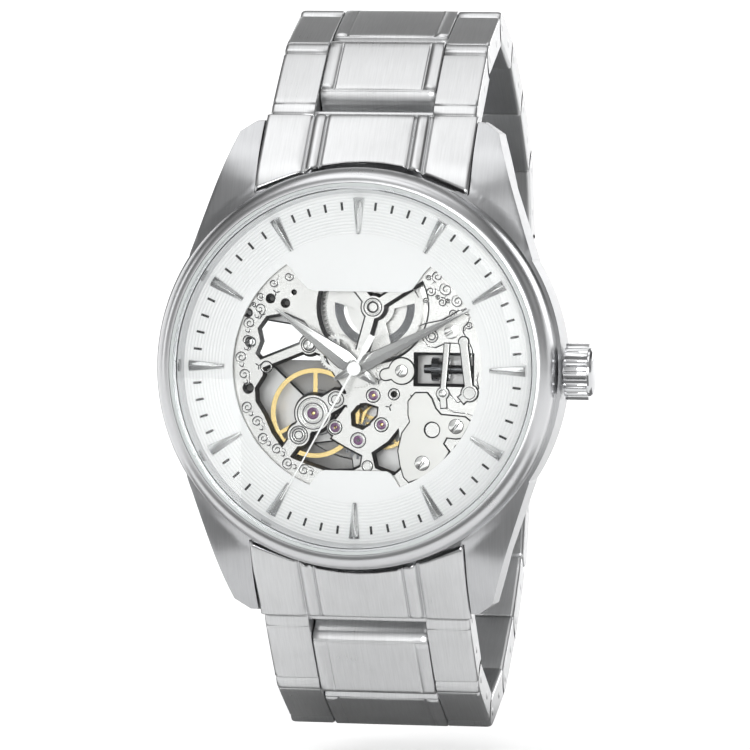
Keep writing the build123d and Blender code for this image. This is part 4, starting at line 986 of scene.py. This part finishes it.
ZF = -0.0425
prof = [(-4.0, ZF), (-1.0, ZF), (0.5, ZF)] + [(0.5 + 0.5 * math.sin(math.radians(t)), ZF + 0.5 - 0.5 * math.cos(math.radians(t))) for t in range(6, 91, 6)] + [(1.0, 0.62)]
bm = bmesh.new()
rows = [[bm.verts.new((x, y, z)) for y, z in prof] for x in (-4.0, 4.0)]
for i in range(len(prof) - 1):
    bm.faces.new((rows[0][i], rows[1][i], rows[1][i + 1], rows[0][i + 1]))
me = bpy.data.meshes.new("sweep")
bm.to_mesh(me)
bm.free()
smooth(me, 60)
floor = bpy.data.objects.new("sweep", me)
COL.objects.link(floor)
fm = N("floor_pale")
fn = fm.noise(fm.coords((1, 1, 1)), 40, 3)
fm.link(fm.ramp(fn, [(0.3, (0.93, 0.93, 0.93)), (0.7, (0.95, 0.95, 0.95))]), fm.p.inputs["Base Color"])
fm.p.inputs["Roughness"].default_value = 0.8
fm.p.inputs["Specular IOR Level"].default_value = 0.1
fm.p.inputs["Emission Color"].default_value = (1, 1, 1, 1)
fm.p.inputs["Emission Strength"].default_value = 0.45
me.materials.append(fm.m)

# a plain pale surround behind everything, which the camera sees and reflections don't
bm = bmesh.new()
rows = [[bm.verts.new((3.2 * r_ * math.cos(2 * math.pi * i / 96), 3.2 * r_ * math.sin(2 * math.pi * i / 96), h_)) for i in range(96)] for r_, h_ in ((1.0, ZF - 0.02), (1.0, 1.6), (0.85, 2.4), (0.5, 2.9), (0.02, 3.1))]
for q0, q1 in zip(rows, rows[1:]):
    for i in range(96):
        bm.faces.new((q0[i], q0[(i + 1) % 96], q1[(i + 1) % 96], q1[i]))
me = bpy.data.meshes.new("surround")
bm.to_mesh(me)
bm.free()
surround = bpy.data.objects.new("surround", me)
COL.objects.link(surround)
sm_ = N("surround_pale")
sn = sm_.noise(sm_.coords((1, 1, 1)), 2, 2)
sm_.link(sm_.ramp(sn, [(0.3, (0.99, 0.99, 0.99)), (0.7, (1.0, 1.0, 1.0))]), sm_.p.inputs["Emission Color"])
sm_.p.inputs["Base Color"].default_value = (0.0, 0.0, 0.0, 1)
sm_.p.inputs["Specular IOR Level"].default_value = 0.0
sm_.p.inputs["Emission Strength"].default_value = 1.0
me.materials.append(sm_.m)
for flag in ("visible_diffuse", "visible_glossy", "visible_transmission", "visible_volume_scatter", "visible_shadow"):
    setattr(surround, flag, False)

# a dark card on the floor in front, seen only in reflections
bm = bmesh.new()
bm.faces.new([bm.verts.new(q) for q in ((-0.08, -0.16, ZF + 0.0002), (0.08, -0.16, ZF + 0.0002), (0.08, -0.024, ZF + 0.0002), (-0.08, -0.024, ZF + 0.0002))])
me = bpy.data.meshes.new("card")
bm.to_mesh(me)
bm.free()
bm = bmesh.new()
bm.from_mesh(me)
bm.faces.new([bm.verts.new(q) for q in ((-0.08, 0.012, ZF + 0.0002), (0.08, 0.012, ZF + 0.0002), (0.08, 0.085, ZF + 0.0002), (-0.08, 0.085, ZF + 0.0002))])
bm.to_mesh(me)
bm.free()
card = bpy.data.objects.new("card", me)
COL.objects.link(card)
cm = N("card_grey")
cn = cm.noise(cm.coords((1, 1, 1)), 30, 2)
cm.link(cm.ramp(cn, [(0.3, (0.30, 0.30, 0.30)), (0.7, (0.36, 0.36, 0.36))]), cm.p.inputs["Base Color"])
cm.p.inputs["Roughness"].default_value = 0.9
me.materials.append(cm.m)
card.visible_camera = False
card.visible_shadow = False
card.visible_diffuse = False
card.visible_transmission = False

w = bpy.data.worlds.new("studio")
SC.world = w
w.use_nodes = True
wt = w.node_tree
bg = wt.nodes["Background"]
tc = wt.nodes.new("ShaderNodeTexCoord")
sep = wt.nodes.new("ShaderNodeSeparateXYZ")
wt.links.new(tc.outputs["Generated"], sep.inputs[0])


def wmath(op, a, b=None, clamp=False):
    n = wt.nodes.new("ShaderNodeMath")
    n.operation, n.use_clamp = op, clamp
    for i, v in enumerate((a, b)):
        if isinstance(v, (int, float)):
            n.inputs[i].default_value = v
        elif v is not None:
            wt.links.new(v, n.inputs[i])
    return n.outputs[0]


def wramp(fac, els):
    n = wt.nodes.new("ShaderNodeValToRGB")
    while len(n.color_ramp.elements) < len(els):
        n.color_ramp.elements.new(0.5)
    for e, (p, v) in zip(n.color_ramp.elements, els):
        e.position = p
        e.color = (v, v, v, 1)
    wt.links.new(fac, n.inputs[0])
    return n.outputs[0]


# a pale room with darker cards to both sides and behind the top, so the polished faces have something to reflect
phi = wmath("DIVIDE", wmath("ARCTAN2", sep.outputs[2], wmath("MULTIPLY", sep.outputs[1], -1.0)), 2 * math.pi)
over = wramp(wmath("ADD", phi, 0.5), [((d + 180) / 360, v) for d, v in ((-180, 0.75), (-120, 0.55), (-70, 0.80), (-30, 0.50), (-14, 0.92), (16, 0.95), (32, 0.60), (50, 0.52), (68, 0.85), (95, 0.90), (112, 0.45), (140, 0.22), (158, 0.62), (180, 0.75))])
side = wramp(wmath("MULTIPLY", wmath("ADD", sep.outputs[0], 1.0), 0.5), [(0.0, 0.45), (0.06, 0.55), (0.12, 0.20), (0.20, 0.35), (0.27, 0.62), (0.40, 1.0), (0.56, 1.0), (0.68, 0.85), (0.76, 0.45), (0.86, 0.16), (0.94, 0.6), (1.0, 0.5)])
mul = wt.nodes.new("ShaderNodeMix")
mul.data_type, mul.blend_type = "RGBA", "MULTIPLY"
mul.inputs[0].default_value = 1.0
wt.links.new(over, mul.inputs[6])
wt.links.new(side, mul.inputs[7])
wt.links.new(mul.outputs[2], bg.inputs[0])
bg.inputs[1].default_value = 0.9

area("key", (-0.18, -0.30, 0.95), (0, 0, 0), (0.9, 0.5), 1.5)
area("front", (0.16, -0.95, 0.16), (0, 0, 0), (0.34, 0.34), 2.9)
area("top", (0.0, 0.16, 0.95), (0, 0, 0), (0.9, 0.30), 0.75)
area("back", (0.55, 0.80, 0.40), (0, 0, 0), (0.5, 0.5), 1.6)
area("left", (-3.3, -0.495, 0.33), (0, 0, 0), (0.825, 2.64), 13.07)
SC.view_settings.view_transform = "Standard"
